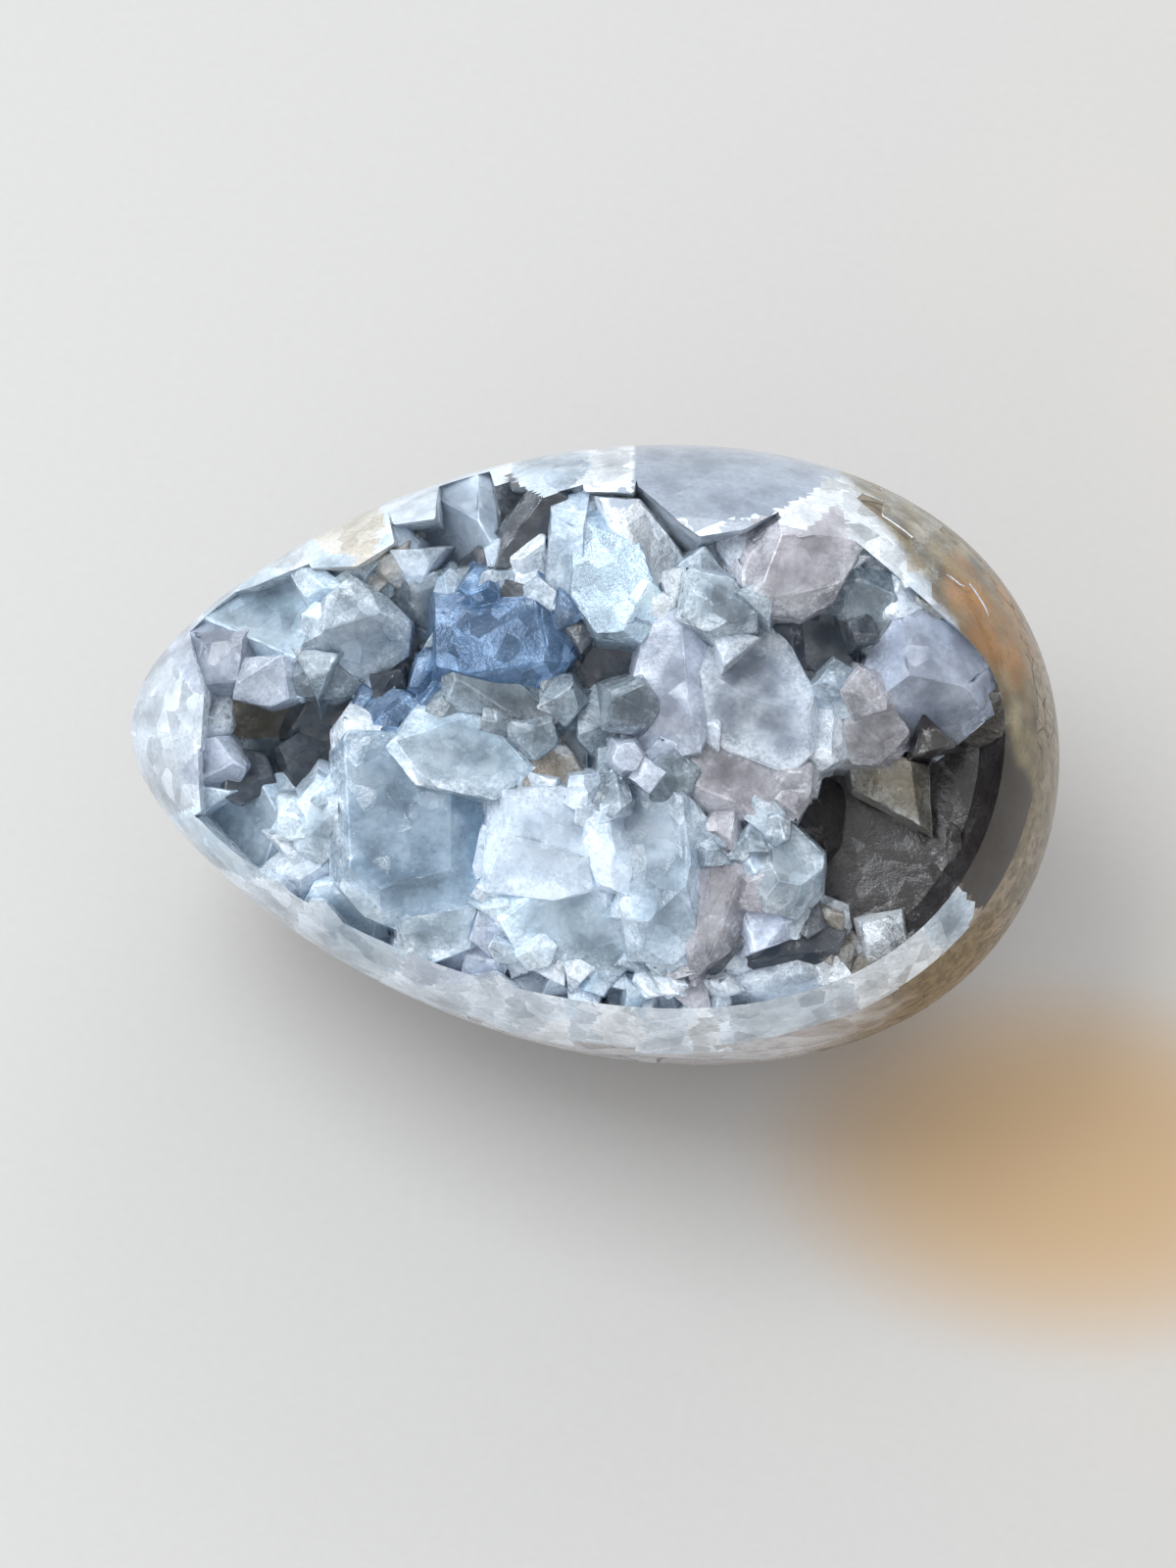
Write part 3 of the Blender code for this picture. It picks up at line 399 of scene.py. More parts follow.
class GeodeSizes(bpy.types.PropertyGroup):
    """The sizes that change how worn and how crowded the crystals are."""

    wear: FloatProperty(name="Edge wear", description="Width of a large crystal's worn edges",
                        default=0.00014, unit="LENGTH", min=0.0, precision=5)
    unevenness: FloatProperty(name="Unevenness", description="How far a crystal's faces stray from flat",
                              default=0.00012, unit="LENGTH", min=0.0, precision=5)
    fineness: FloatProperty(name="Fineness", description="Longest edge of a crystal's mesh",
                            default=0.0009, unit="LENGTH", min=0.0002, precision=5)
    small_count: IntProperty(name="Small crystals", description="How many places small crystals may take",
                             default=260, min=0, max=600)
    shell_rings: IntProperty(name="Shell rings", description="Rings of faces along the shell",
                             default=90, min=16, max=200)


class StudioSettings(bpy.types.PropertyGroup):
    """The floor and the lamps."""

    floor: colour("Floor", "The pale floor", (0.525, 0.512, 0.495))
    sky: colour("Sky", "Light from all round", (0.97, 0.98, 1.0))
    sky_strength: FloatProperty(name="Sky strength", description="Strength of the light from all round",
                                default=0.8, min=0.0)
    window_power: FloatProperty(name="Window power", description="Power of the large soft lamp",
                                default=1.55, min=0.0, subtype="POWER")
    glow: colour("Glow", "The floor beside the blunt end, where light comes through the stone",
                 (0.55, 0.36, 0.18))
    distance: FloatProperty(name="Camera distance", description="From the camera to the egg's centre",
                            default=0.36, unit="LENGTH", min=0.1)


def egg_radius(u):
    """The egg's radius at u, as a circle's height times a polynomial that makes one end blunt."""
    t = max(-1.0, min(1.0, 2 * u / EGG_LENGTH))
    blunt = sum(factor * t**power for power, factor in enumerate(EGG_PROFILE))
    return EGG_GIRTH * math.sqrt(1 - t * t) * blunt


def egg_height(u, v):
    """How far out of the opening the polished egg reaches over (u, v)."""
    return math.sqrt(max(0.0, egg_radius(u) ** 2 - v * v))


def placement():
    """From the opening's frame in millimetres to the row's frame in metres."""
    lift = Matrix.Translation((0, 0, AXIS_HEIGHT * METRES_PER_MM))
    tip = Matrix.Rotation(math.radians(90 - OPENING_ELEVATION), 4, "X")
    return lift @ tip @ Matrix.Scale(METRES_PER_MM, 4)


def trim(bm, point, normal):
    """Cuts away what lies beyond a plane and closes the cut."""
    parts = bm.verts[:] + bm.edges[:] + bm.faces[:]
    cut = bmesh.ops.bisect_plane(bm, geom=parts, plane_co=point, plane_no=normal, clear_outer=True,
                                 dist=1e-5)
    edges = [item for item in cut["geom_cut"] if isinstance(item, bmesh.types.BMEdge)]
    if edges and not bmesh.ops.contextual_create(bm, geom=edges)["faces"]:
        bmesh.ops.convex_hull(bm, input=bm.verts)


def rim_point(angle):
    """The rim's outline, seen along the opening's own axis."""
    along, across = math.cos(angle), math.sin(angle)
    dent = (math.degrees(angle) - RIM_DENT_ANGLE) / RIM_DENT_WIDTH
    share = RIM_BACK_SHARE - RIM_DENT * math.exp(-dent * dent) if across > 0 else RIM_FRONT_SHARE
    half_width = egg_radius(EGG_LENGTH / 2 * along) * share
    return Vector((EGG_LENGTH / 2 * RIM_LENGTH_SHARE * along, math.copysign(half_width, across)))


def rim_tilt():
    """The rim's plane leans down to the slim end and to the back."""
    tilt = Matrix.Rotation(math.radians(-RIM_TILT_BACK), 4, "X")
    return tilt @ Matrix.Rotation(math.radians(-RIM_TILT_TO_TIP), 4, "Y")


def pan_mesh(inset):
    """The wide hollow as a solid: straight walls above the rim and a rounded floor below it."""
    bm = bmesh.new()
    angles = [math.tau * step / PAN_SEGMENTS - math.pi for step in range(PAN_SEGMENTS)]
    outline = [rim_point(angle) for angle in angles]
    levels = [(1.0, PAN_TOP - inset)]
    for step in range(PAN_STEPS):
        turn = math.pi / 2 * step / PAN_STEPS
        levels.append((math.cos(turn) ** PAN_BULGE, inset - PAN_DEPTH * math.sin(turn)))
    before = None
    for share, height in levels:
        ring = [bm.verts.new((*(point * share * (1 - inset / point.length)), height)) for point in outline]
        edges = [bm.edges.new((ring[index - 1], ring[index])) for index in range(PAN_SEGMENTS)]
        if before is None:
            bm.faces.new(ring)
        else:
            bmesh.ops.bridge_loops(bm, edges=before + edges)
        before = edges
    floor = bmesh.ops.contextual_create(bm, geom=before)["faces"]
    bmesh.ops.poke(bm, faces=floor)
    place = rim_tilt() @ Matrix.Translation((0, 0, RIM_HEIGHT))
    bmesh.ops.transform(bm, matrix=place, verts=bm.verts)
    bmesh.ops.recalc_face_normals(bm, faces=bm.faces)
    return bm


def pit_mesh(inset):
    """The deep pit as a solid."""
    bm = bmesh.new()
    size = [half - inset for half in PIT_HALF_SIZES]
    matrix = Matrix.Translation(PIT_CENTRE) @ Matrix.Diagonal((*size, 1.0))
    bmesh.ops.create_icosphere(bm, subdivisions=4, radius=1.0, matrix=matrix)
    return bm


def scratch_object(name, bm):
    """An object for a Boolean to work with."""
    mesh = bpy.data.meshes.new(name)
    bm.to_mesh(mesh)
    bm.free()
    obj = bpy.data.objects.new(name, mesh)
    bpy.context.scene.collection.objects.link(obj)
    return obj


def combine(first, *steps):
    """Runs a mesh through Booleans with other meshes or with collections of solids, which are used up."""
    base = scratch_object("base", first)
    used = [base]
    for operation, other in steps:
        modifier = base.modifiers.new(operation, "BOOLEAN")
        modifier.operation = operation
        modifier.solver = "MANIFOLD"
        if isinstance(other, bpy.types.Collection):
            modifier.operand_type = "COLLECTION"
            modifier.collection = other
            used += other.objects
        else:
            modifier.object = scratch_object("tool", other)
            used.append(modifier.object)
    graph = bpy.context.evaluated_depsgraph_get()
    made = bpy.data.meshes.new_from_object(base.evaluated_get(graph))
    result = bmesh.new()
    result.from_mesh(made)
    bpy.data.meshes.remove(made)
    for obj in used:
        mesh = obj.data
        bpy.data.objects.remove(obj)
        bpy.data.meshes.remove(mesh)
    return result


def egg_mesh(rings, proud=0.0):
    """The whole egg, spun about its long axis."""
    bm = bmesh.new()
    profile = []
    for ring in range(rings + 1):
        along = -math.cos(math.pi * ring / rings)
        radius = egg_radius(EGG_LENGTH / 2 * along)
        profile.append(bm.verts.new(((EGG_LENGTH / 2 + proud) * along, 0, radius + proud * (radius > 0))))
    edges = [bm.edges.new(pair) for pair in zip(profile, profile[1:])]
    bmesh.ops.spin(bm, geom=profile + edges, cent=(0, 0, 0), axis=(1, 0, 0), angle=math.tau,
                   steps=2 * rings, use_merge=True)
    bmesh.ops.remove_doubles(bm, verts=bm.verts, dist=1e-4)
    bmesh.ops.recalc_face_normals(bm, faces=bm.faces)
    return bm


def cavity(inset):
    """All of the hollow as one solid, made smaller by the inset."""
    return combine(pan_mesh(inset), ("UNION", pit_mesh(inset)))


def new_piece(name, bm, material):
    """Turns a finished mesh into a piece of the object, with its place in its mesh."""
    bmesh.ops.transform(bm, matrix=placement(), verts=bm.verts)
    mesh = bpy.data.meshes.new(name)
    bm.to_mesh(mesh)
    bm.free()
    piece = bpy.data.objects.new(name, mesh)
    bpy.context.scene.collection.objects.link(piece)
    piece.data.materials.append(material)
    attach(piece, "root")
    return piece


def dish(u, v):
    """How much deeper the crystals' tops lie towards the middle of the hollow."""
    away = (u / DISH_REACH[0]) ** 2 + (v / DISH_REACH[1]) ** 2
    return DISH_DEPTH * max(0.0, 1 - away)


def egg_normal(u, v):
    """The direction out of the polished surface over (u, v)."""
    slope = (egg_radius(u + 1) - egg_radius(u - 1)) / 2
    return Vector((-egg_radius(u) * slope, v, max(1.0, egg_height(u, v)))).normalized()


def fall_with_egg(middle, sink):
    """How a crown near the polished surface slopes down with it. The front crowns are given in full."""
    if (middle.y < FOLLOW_V and middle.x > FOLLOW_U) or sink > FOLLOW_SINK:
        return Vector((0, 0))
    normal = egg_normal(*middle)
    fall = normal.xy / normal.z * FOLLOW_SHARE
    return fall * min(1.0, FOLLOW_MOST / max(fall.length, 1e-6))


def crown_planes(middle, top, crown, fall):
    """Each crown face as a point on it and its normal."""
    planes = []
    for azimuth, tilt, start in crown:
        lean = Vector((math.cos(math.radians(azimuth)), math.sin(math.radians(azimuth))))
        slope = math.tan(math.radians(tilt))
        point = Vector((*(middle + lean * start), top - fall.dot(lean * start)))
        planes.append((point, Vector((*(lean * slope + fall), 1))))
    return planes


def crown_height(planes, u, v):
    """How high a crown reaches over (u, v)."""
    heights = [point.z - (normal.x * (u - point.x) + normal.y * (v - point.y)) / normal.z
               for point, normal in planes]
    return min(heights)


def middle_of(outline):
    return sum((Vector(corner) for corner in outline), Vector((0, 0))) / len(outline)


def crystal_planes(sink, outline, crown, draw):
    """The planes that cut one crystal out of a block: its crown, then each side and its chamfer."""
    middle = middle_of(outline)
    top = egg_height(*middle) - sink - (dish(*middle) if crown else 0.0)
    faces = crown_planes(middle, top, crown, fall_with_egg(middle, sink))
    planes = list(faces)
    flare = math.radians(draw.uniform(FLARE_LEAST, FLARE_MOST))
    for here, there in zip(outline, outline[1:] + outline[:1]):
        side = Vector(there) - Vector(here)
        outward = Vector((side.y, -side.x)).normalized()
        if outward.dot(Vector(here) - middle) < 0:
            outward = -outward
        foot = Vector((*(Vector(here) + outward * OVERLAP), top - SIDE_DROP))
        planes.append((foot, Vector((*outward, math.tan(flare)))))
        width = draw.uniform(CHAMFER_LEAST, CHAMFER_MOST)
        tilt = math.radians(draw.uniform(CHAMFER_TILT_LEAST, CHAMFER_TILT_MOST))
        wanted = draw.random() < CHAMFER_SHARE
        if crown and wanted and side.length > SMALLEST_CHAMFERED_CRYSTAL:
            inner = (Vector(here) + Vector(there)) / 2 - outward * width
            edge = Vector((*inner, crown_height(faces, *inner)))
            planes.append((edge, Vector((*(outward * math.sin(tilt)), math.cos(tilt)))))
    return planes


def in_hollow(u, v):
    """Whether a place lies in one of the two hollows, which no small crystal fills."""
    return any(((u - middle[0]) / half[0]) ** 2 + ((v - middle[1]) / half[1]) ** 2 < 1
               for middle, half in HOLLOWS)


def ring_of(place, radius, spin, sides):
    return tuple((place.x + radius * math.cos(spin + math.tau * side / sides),
                  place.y + radius * math.sin(spin + math.tau * side / sides)) for side in range(sides))


@functools.lru_cache(maxsize=None)
def sides_of(outline):
    """Each side of an outline as its outward direction and how far out it lies."""
    middle = middle_of(outline)
    sides = []
    for here, there in zip(outline, outline[1:] + outline[:1]):
        side = (Vector(there) - Vector(here)).normalized()
        outward = Vector((side.y, -side.x))
        if outward.dot(Vector(here) - middle) < 0:
            outward = -outward
        sides.append((outward.x, outward.y, outward.dot(Vector(here))))
    return sides


def depth_in(place, outline):
    """How far inside an outline a place lies, less than 0 outside it."""
    return min(reach - x * place[0] - y * place[1] for x, y, reach in sides_of(outline))


def covered(place, margin=0.0):
    """Whether a large crystal stands at a place."""
    return any(depth_in(place, row[3]) > margin for row in CRYSTALS)


def small_crystals(count, draw):
    """Small crystals on a sunflower pattern all over the hollow, apart from the pits."""
    for index in range(count):
        share = math.sqrt((index + 0.5) / count) * SMALL_SPREAD
        turn = index * GOLDEN_ANGLE
        place = rim_point(turn % math.tau - math.pi) * share
        radius = draw.uniform(SMALL_RADIUS_LEAST, SMALL_RADIUS_MOST)
        sink = draw.uniform(SMALL_SINK_LEAST, SMALL_SINK_MOST)
        spin = draw.uniform(0, math.tau)
        crown = ((draw.uniform(0, 360), draw.uniform(SMALL_TILT_LEAST, SMALL_TILT_MOST), 0),
                 (draw.uniform(0, 360), draw.uniform(SMALL_TILT_LEAST, SMALL_TILT_MOST), SMALL_RIDGE))
        if not covered(place) and not in_hollow(*place):
            yield small_look(*place), sink, ring_of(place, radius, spin, SMALL_SIDES), crown


def fillers(draw):
    """Broken bits that fill the grooves between the large crystals, each like one of its neighbours."""
    for index in range(FILLER_COUNT):
        share = math.sqrt((index + draw.random()) / FILLER_COUNT) * SMALL_SPREAD
        place = rim_point((index * GOLDEN_ANGLE + 1) % math.tau - math.pi) * share
        radius = draw.uniform(FILLER_RADIUS_LEAST, FILLER_RADIUS_MOST)
        drop = draw.uniform(FILLER_DROP_LEAST, FILLER_DROP_MOST)
        outline = ring_of(place, radius, draw.uniform(0, math.tau), draw.choice((3, 4, 5, 6)))
        crown = tuple((draw.uniform(0, 360), draw.uniform(*tilts), start)
                      for tilts, start in zip(FILLER_TILTS, (0, SMALL_RIDGE)))
        near = sorted((-depth_in(place, row[3]), number) for number, row in enumerate(CRYSTALS))[:3]
        sinks = [CRYSTALS[number][2] for distance, number in near if distance < FILLER_REACH]
        _, look, _, _, _ = CRYSTALS[draw.choice(near[:2])[1]]
        if sinks and not covered(place, FILLER_MARGIN) and not in_hollow(*place):
            yield look, max(0.5, draw.choice(sinks)) + drop, outline, crown


def small_look(u, v):
    """What a small crystal looks like follows from where it grew."""
    if u > 33 or (u > 22 and v < -2):
        return "tan"
    if u > 8 and -6 < v < 4:
        return "plum"
    if -8 < u < 12 and -6 < v < 10:
        return "sea"
    if u < -30 or v < -18:
        return "frost"
    return "mist"


def rim_chips(draw):
    """The crystals that the grinding cut through all along the rim, where no large one stands."""
    for ring, share in enumerate(CHIP_SHARES):
        for index in range(CHIP_COUNT):
            angle = math.tau * (index + 0.5 * ring + draw.uniform(-0.2, 0.2)) / CHIP_COUNT - math.pi
            place = rim_point(angle) * share
            radius = draw.uniform(CHIP_RADIUS_LEAST, CHIP_RADIUS_MOST)
            outline = ring_of(place, radius, draw.uniform(0, math.tau), draw.choice((4, 5, 6)))
            front = FRONT_LOW < place.x < FRONT_HIGH and place.y < 0
            sink = draw.uniform(0.0, 1.0)
            lean = CHIP_LEAN * (1.5 if front else 1.0)
            crown = (tangent(place, lean, draw),) if front or draw.random() < 0.6 else ()
            look = rim_look(draw, *place)
            if not covered(place) and not in_hollow(*place):
                yield look, sink, outline, crown


def tangent(place, lean, draw):
    """A crown face that lies along the egg's surface, turned from it by up to a share of its slope."""
    normal = egg_normal(*place) + Vector((draw.uniform(-lean, lean), draw.uniform(-lean, lean), 0))
    normal.z = max(normal.z, 0.15)
    azimuth = math.degrees(math.atan2(normal.y, normal.x))
    return azimuth, math.degrees(math.atan2(normal.xy.length, normal.z)), 0


def rim_look(draw, u, v):
    """The rim is white at the slim end and in front, and stained towards the blunt end."""
    if u > 30 and v > -12:
        return draw.choice(("olive", "olive", "earth", "tan"))
    if u > 24 and v > -8:
        return draw.choice(("olive", "tan", "cream"))
    if u > 20 and v > 8:
        return draw.choice(("olive", "tan", "earth", "olive", "cream"))
    if u > 14 and v > 12:
        return draw.choice(("cream", "sugar", "sugar"))
    if u > 30:
        return draw.choice(("tan", "sugar", "sugar"))
    return draw.choice(("frost", "frost", "ice", "sugar"))


def past_rim(outline):
    """Moves the corners of a ground crystal that lie near the rim outside the egg, which cuts them off."""
    moved = []
    pivot = max(NEAR_RIM_SHARE, share_of_rim(*middle_of(outline)))
    for u, v in outline:
        share = share_of_rim(u, v)
        factor = 1 + RIM_STRETCH * max(0.0, 1 - pivot / share)
        moved.append((u * factor, v * factor))
    return tuple(moved)


def all_crystals(sizes):
    """Every crystal as its look, its depth, its outline, its crown and the planes that bound it."""
    draw = random.Random(SEED)
    rows = [row[1:] for row in CRYSTALS]
    small = small_crystals(sizes.small_count, draw)
    for source in (small, HOLLOW_CRYSTALS, rim_chips(draw), fillers(draw)):
        rows += source
    crystals = []
    for look, sink, outline, crown in rows:
        if sink < GROUND_SINK:
            outline = past_rim(outline)
        crystals.append((look, sink, outline, crown, crystal_planes(sink, outline, crown, draw)))
    return crystals


def refine(bm, longest):
    """Splits long edges until the mesh is fine enough to be uneven."""
    bmesh.ops.triangulate(bm, faces=bm.faces)
    for _ in range(7):
        long_edges = [edge for edge in bm.edges if edge.calc_length() > longest]
        if not long_edges:
            return
        bmesh.ops.subdivide_edges(bm, edges=long_edges, cuts=1)
        bmesh.ops.triangulate(bm, faces=[face for face in bm.faces if len(face.verts) > 3])


def share_of_rim(u, v):
    """How far out towards the rim a place lies: 0 in the middle and 1 on the rim."""
    angle = math.atan2(v / EGG_GIRTH, 2 * u / EGG_LENGTH)
    return math.hypot(u, v) / max(1.0, rim_point(angle).length)


def knocks(outline, faces, draw):
    """Small faces where a crystal's corners were knocked off."""
    middle = middle_of(outline)
    for corner in outline:
        depth = draw.uniform(KNOCK_DEPTH_LEAST, KNOCK_DEPTH_MOST)
        tilt = math.radians(draw.uniform(KNOCK_TILT_LEAST, KNOCK_TILT_MOST))
        if draw.random() < KNOCK_SHARE:
            outward = (Vector(corner) - middle).normalized()
            inner = Vector(corner) - outward * depth
            edge = Vector((*inner, crown_height(faces, *inner)))
            yield edge, Vector((*(outward * math.sin(tilt)), math.cos(tilt)))


def splits(outline, faces, draw):
    """A second face beside each crown face, leaning a little further."""
    middle = middle_of(outline)
    size = max((Vector(corner) - middle).length for corner in outline)
    for _, normal in faces:
        azimuth = draw.uniform(0, math.tau)
        lean = Vector((math.cos(azimuth), math.sin(azimuth), 0))
        tilt = math.radians(draw.uniform(SPLIT_TILT_LEAST, SPLIT_TILT_MOST))
        start = middle + lean.xy * size * draw.uniform(SPLIT_REACH_LEAST, SPLIT_REACH_MOST)
        if draw.random() < SPLIT_SHARE:
            edge = Vector((*start, crown_height(faces, *start)))
            yield edge, normal.normalized() + lean * math.tan(tilt)


def cut_crystal(sink, outline, crown, planes, draw):
    """One crystal as a convex block between its planes."""
    middle = middle_of(outline)
    faces = planes[:len(crown)]
    bm = bmesh.new()
    block = Matrix.Translation((*middle, 0)) @ Matrix.Scale(2 * REACH, 4)
    bmesh.ops.create_cube(bm, size=1.0, matrix=block)
    cuts = [((0, 0, CRYSTAL_ROOT), (0, 0, -1)), *planes]
    if crown:
        cuts += [*knocks(outline, faces, draw), *splits(outline, faces, draw)]
    if sink < GROUND_SINK:
        rim = rim_tilt()
        skirt = draw.uniform(RIM_SKIRT_LEAST, RIM_SKIRT_MOST)
        cuts.append((rim @ Vector((0, 0, RIM_HEIGHT - skirt)), rim @ Vector((0, 0, -1))))
    for point, normal in cuts:
        trim(bm, point, normal)
    return bm


def crystal_block(sizes, number, crystal):
    """A closed block with worn edges. Each face carries its crystal's number, its wear and its tone."""
    _, sink, outline, crown, planes = crystal
    draw = random.Random(SEED * 1000 + number)
    bm = cut_crystal(sink, outline, crown, planes, draw)
    bmesh.ops.remove_doubles(bm, verts=bm.verts, dist=0.02)
    bmesh.ops.dissolve_degenerate(bm, dist=0.01, edges=bm.edges)
    bmesh.ops.recalc_face_normals(bm, faces=bm.faces)
    width = sizes.wear / METRES_PER_MM * draw.uniform(0.5, 1.5)
    sharp = [edge for edge in bm.edges if edge.calc_face_angle(0.0) > SHARP_ANGLE]
    worn = bmesh.ops.bevel(bm, geom=sharp, offset=width, offset_type="OFFSET", segments=1, profile=0.5,
                           affect="EDGES", material=-1, clamp_overlap=True)
    worn_faces = set(worn["faces"])
    mark = bm.loops.layers.float_color.new("mark")
    for face in bm.faces:
        tone = draw.random()
        for loop in face.loops:
            loop[mark] = (number + 1, float(face in worn_faces), tone, 1.0)
    return bm


def bed_mesh():
    """The rough stone that lines the hollow."""
    outside = combine(pan_mesh(-BED_ALLOWANCE), ("UNION", pit_mesh(-BED_ALLOWANCE)))
    return combine(outside, ("DIFFERENCE", cavity(FIT_GAP + BED_THICKNESS)))


def collar_mesh():
    """A ring of stone that closes the seam between the crust and the shell all along the rim."""
    rim = rim_tilt()
    ring = combine(pan_mesh(-COLLAR_OUT), ("DIFFERENCE", cavity(COLLAR_IN)))
    trim(ring, rim @ Vector((0, 0, RIM_HEIGHT - COLLAR_SKIRT)), rim @ Vector((0, 0, -1)))
    return ring


def crust_mesh(sizes, crystals):
    """The bed and every crystal in one closed mesh, ground down to the polished egg."""
    groups = {name: bpy.data.collections.new(name) for name in ("inner", "rim")}
    for number, crystal in enumerate(crystals):
        block = crystal_block(sizes, number, crystal)
        if not block.faces:
            block.free()
            continue
        obj = scratch_object("block", block)
        bpy.context.scene.collection.objects.unlink(obj)
        middle = middle_of(crystal[2])
        rim = crystal[1] < GROUND_SINK and share_of_rim(*middle) > INSIDE_SHARE
        groups["rim" if rim else "inner"].objects.link(obj)
    for group in groups.values():
        bpy.context.scene.collection.children.link(group)
    bm = combine(bed_mesh(), ("UNION", groups["inner"]), ("INTERSECT", cavity(FIT_GAP)),
                 ("UNION", collar_mesh()), ("UNION", groups["rim"]),
                 ("INTERSECT", egg_mesh(sizes.shell_rings, GROUND_PROUD)))
    for group in groups.values():
        bpy.data.collections.remove(group)
    return bm


def bed_look(u, v):
    """The bed is pale between the crystals and dark in the hollows and around the deep pit."""
    if in_hollow(u, v) or (u > 20 and -15 < v < 6):
        return "smoke" if u > 0 else "slate"
    return small_look(u, v)


def collar_look(u, v):
    """The ground stone between the crystals and the shell."""
    if u > 30 and v > -16:
        return "earth" if v < 8 else "olive"
    if (u > 18 and v > 14) or (u > 26 and v < -12):
        return "tan"
    return "cream" if u > 14 else "frost"


def owners(crystals):
    """Finds the ground crystal at a place. The grinding's own faces don't know which one they cut."""
    ground = [number for number, row in enumerate(crystals) if row[1] < GROUND_SINK]
    tree = kdtree.KDTree(len(ground))
    for number in ground:
        tree.insert((*middle_of(crystals[number][2]), 0), number)
    tree.balance()

    def find(place):
        near = [number for _, number, _ in tree.find_n((*place, 0), OWNERS_TRIED)]
        depth, number = max((depth_in(place, crystals[number][2]), number) for number in near)
        return number if depth > -OVERLAP else -1

    return find


def roughen(bm, stray):
    """Makes the faces uneven and chips the worn edges, apart from what was ground."""
    mark = bm.loops.layers.float_color["mark"]
    bm.normal_update()
    for vert, normal in [(vert, vert.normal.copy()) for vert in bm.verts]:
        point = vert.co
        if on_egg(point):
            continue
        number, worn, _, _ = vert.link_loops[0][mark]
        place = point + Vector((round(number) * 7.3, 0, 0))
        drift = noise.noise(place * 0.25) + 0.5 * noise.noise(place * 0.7) + 0.2 * noise.noise(place * 1.8)
        chip = worn * max(0.0, noise.noise(place * 0.9) + 0.1) * 2.5
        vert.co = point + normal * stray * (1.2 * drift - chip)


def paint(bm, crystals, colours):
    """Writes what the finish needs to know at each corner: tint, grain, wear and cut. The wear layer also
    carries each corner's depth, which the finish paints as shade.
    """
    mark = bm.loops.layers.float_color["mark"]
    layers = [bm.loops.layers.float_color.new(name) for name in ("tint", "grain", "wear", "cut")]
    draw = random.Random(SEED)
    strengths = [(draw.uniform(0.85, 1.12), draw.uniform(0, math.tau), draw.uniform(0.1, 0.3))
                 for _ in crystals]
    looks = {}
    find_owner = owners(crystals)
    for face in bm.faces:
        number, _, face_tone, _ = face.loops[0][mark]
        number = round(number) - 1
        ground = all(on_egg(vert.co) for vert in face.verts)
        if ground and number < 0:
            number = find_owner(face.calc_center_median().xy)
        for loop in face.loops:
            key = (loop.vert.index, number, ground)
            if key not in looks:
                looks[key] = painted(loop.vert.co, number, ground, crystals, strengths, colours)
            tint, grain, depth, heart, mirror, shatter, bleach = looks[key]
            tone = 1.0 if ground else 0.82 + 0.36 * face_tone
            loop[layers[0]] = (tint[0] * tone, tint[1] * tone, tint[2] * tone, tint[3])
            loop[layers[1]] = grain
            # The wear layer: worn edge, depth for the painted shade, distance into the crystal and mirror
            # share
            loop[layers[2]] = (loop[mark][1], depth, heart, mirror)
            loop[layers[3]] = (float(ground), shatter, bleach, 1.0)
    bm.loops.layers.float_color.remove(mark)


def on_egg(point):
    """Whether a point lies where the egg was ground."""
    return math.hypot(point.y, point.z) > egg_radius(point.x) - ON_EGG_ALLOWANCE


def stains(point):
    """How far the ground stone is olive rind, and how far it is stained with rust."""
    stray = noise.noise(point * 0.35)
    past = RIND_OUTWARD.dot(point.xy - RIND_START) / RIND_WIDTH + stray
    away = point.xy - STAIN_CENTRE
    along, across = RIND_OUTWARD.orthogonal().dot(away), RIND_OUTWARD.dot(away)
    rust = 1.4 - math.hypot(along / STAIN_HALF_LENGTH, across / STAIN_HALF_WIDTH) + 0.8 * stray
    return max(0.0, min(1.0, past)), max(0.0, min(0.9, rust))


def painted(point, number, ground, crystals, strengths, colours):
    """What one crystal, the bed or the ground stone looks like at a point."""
    if number < 0:
        heart, strength, grade = 0.0, 1.0, 0.0
        look = collar_look(*point.xy) if ground else bed_look(*point.xy)
    else:
        look, _, outline, _, _ = crystals[number]
        strength, turn, slope = strengths[number]
        away = point.xy - middle_of(outline)
        heart = max(0.0, min(1.0, depth_in(point, outline) / HEART_REACH))
        size = max(1.5, depth_in(middle_of(outline), outline))
        grade = slope * max(-1.0, min(1.0, (away.x * math.cos(turn) + away.y * math.sin(turn)) / size))
    body, mirror, flakes, grit, cloud, shatter, bleach = LOOKS[look]
    # How deep the point lies below the dished egg; the finish paints deeper places darker as shade and makes
    # them rougher
    depth = max(0.0, min(1.0, (egg_height(*point.xy) - dish(*point.xy) - point.z) / FULL_SHADE_DEPTH))
    base = Vector(getattr(colours, look)) * strength * (1.0 + grade)
    if ground:
        rind, rust = stains(point)
        base = base.lerp(Vector(colours.olive) * (1.0 + noise.noise(point * 0.5)), rind)
        base = base.lerp(Vector(colours.rust), rust)
        body += (0.9 - body) * rind
        bleach *= 1.0 - max(rind, rust)
    grain = (flakes, grit, cloud, (number * 0.618) % 1.0)
    return (*base, body), grain, depth, heart, mirror, shatter, bleach


class Wire:
    """A number on its way between nodes. Arithmetic on it adds Math nodes."""

    def __init__(self, finish, socket):
        self.finish = finish
        self.socket = socket

    def __add__(self, other):
        return self.finish.maths("ADD", self, other)

    __radd__ = __add__

    def __sub__(self, other):
        return self.finish.maths("SUBTRACT", self, other)

    def __rsub__(self, other):
        return self.finish.maths("SUBTRACT", other, self)

    def __mul__(self, other):
        return self.finish.maths("MULTIPLY", self, other)

    __rmul__ = __mul__

    def clipped(self):
        return self.finish.maths("ADD", self, 0.0, clamp=True)

    def within(self, low, high):
        """0 below low and 1 above high, with a soft step between them."""
        node = self.finish.node("ShaderNodeMapRange", {"interpolation_type": "SMOOTHSTEP"},
                                {"Value": self, "From Min": low, "From Max": high})
        return Wire(self.finish, node.outputs["Result"])


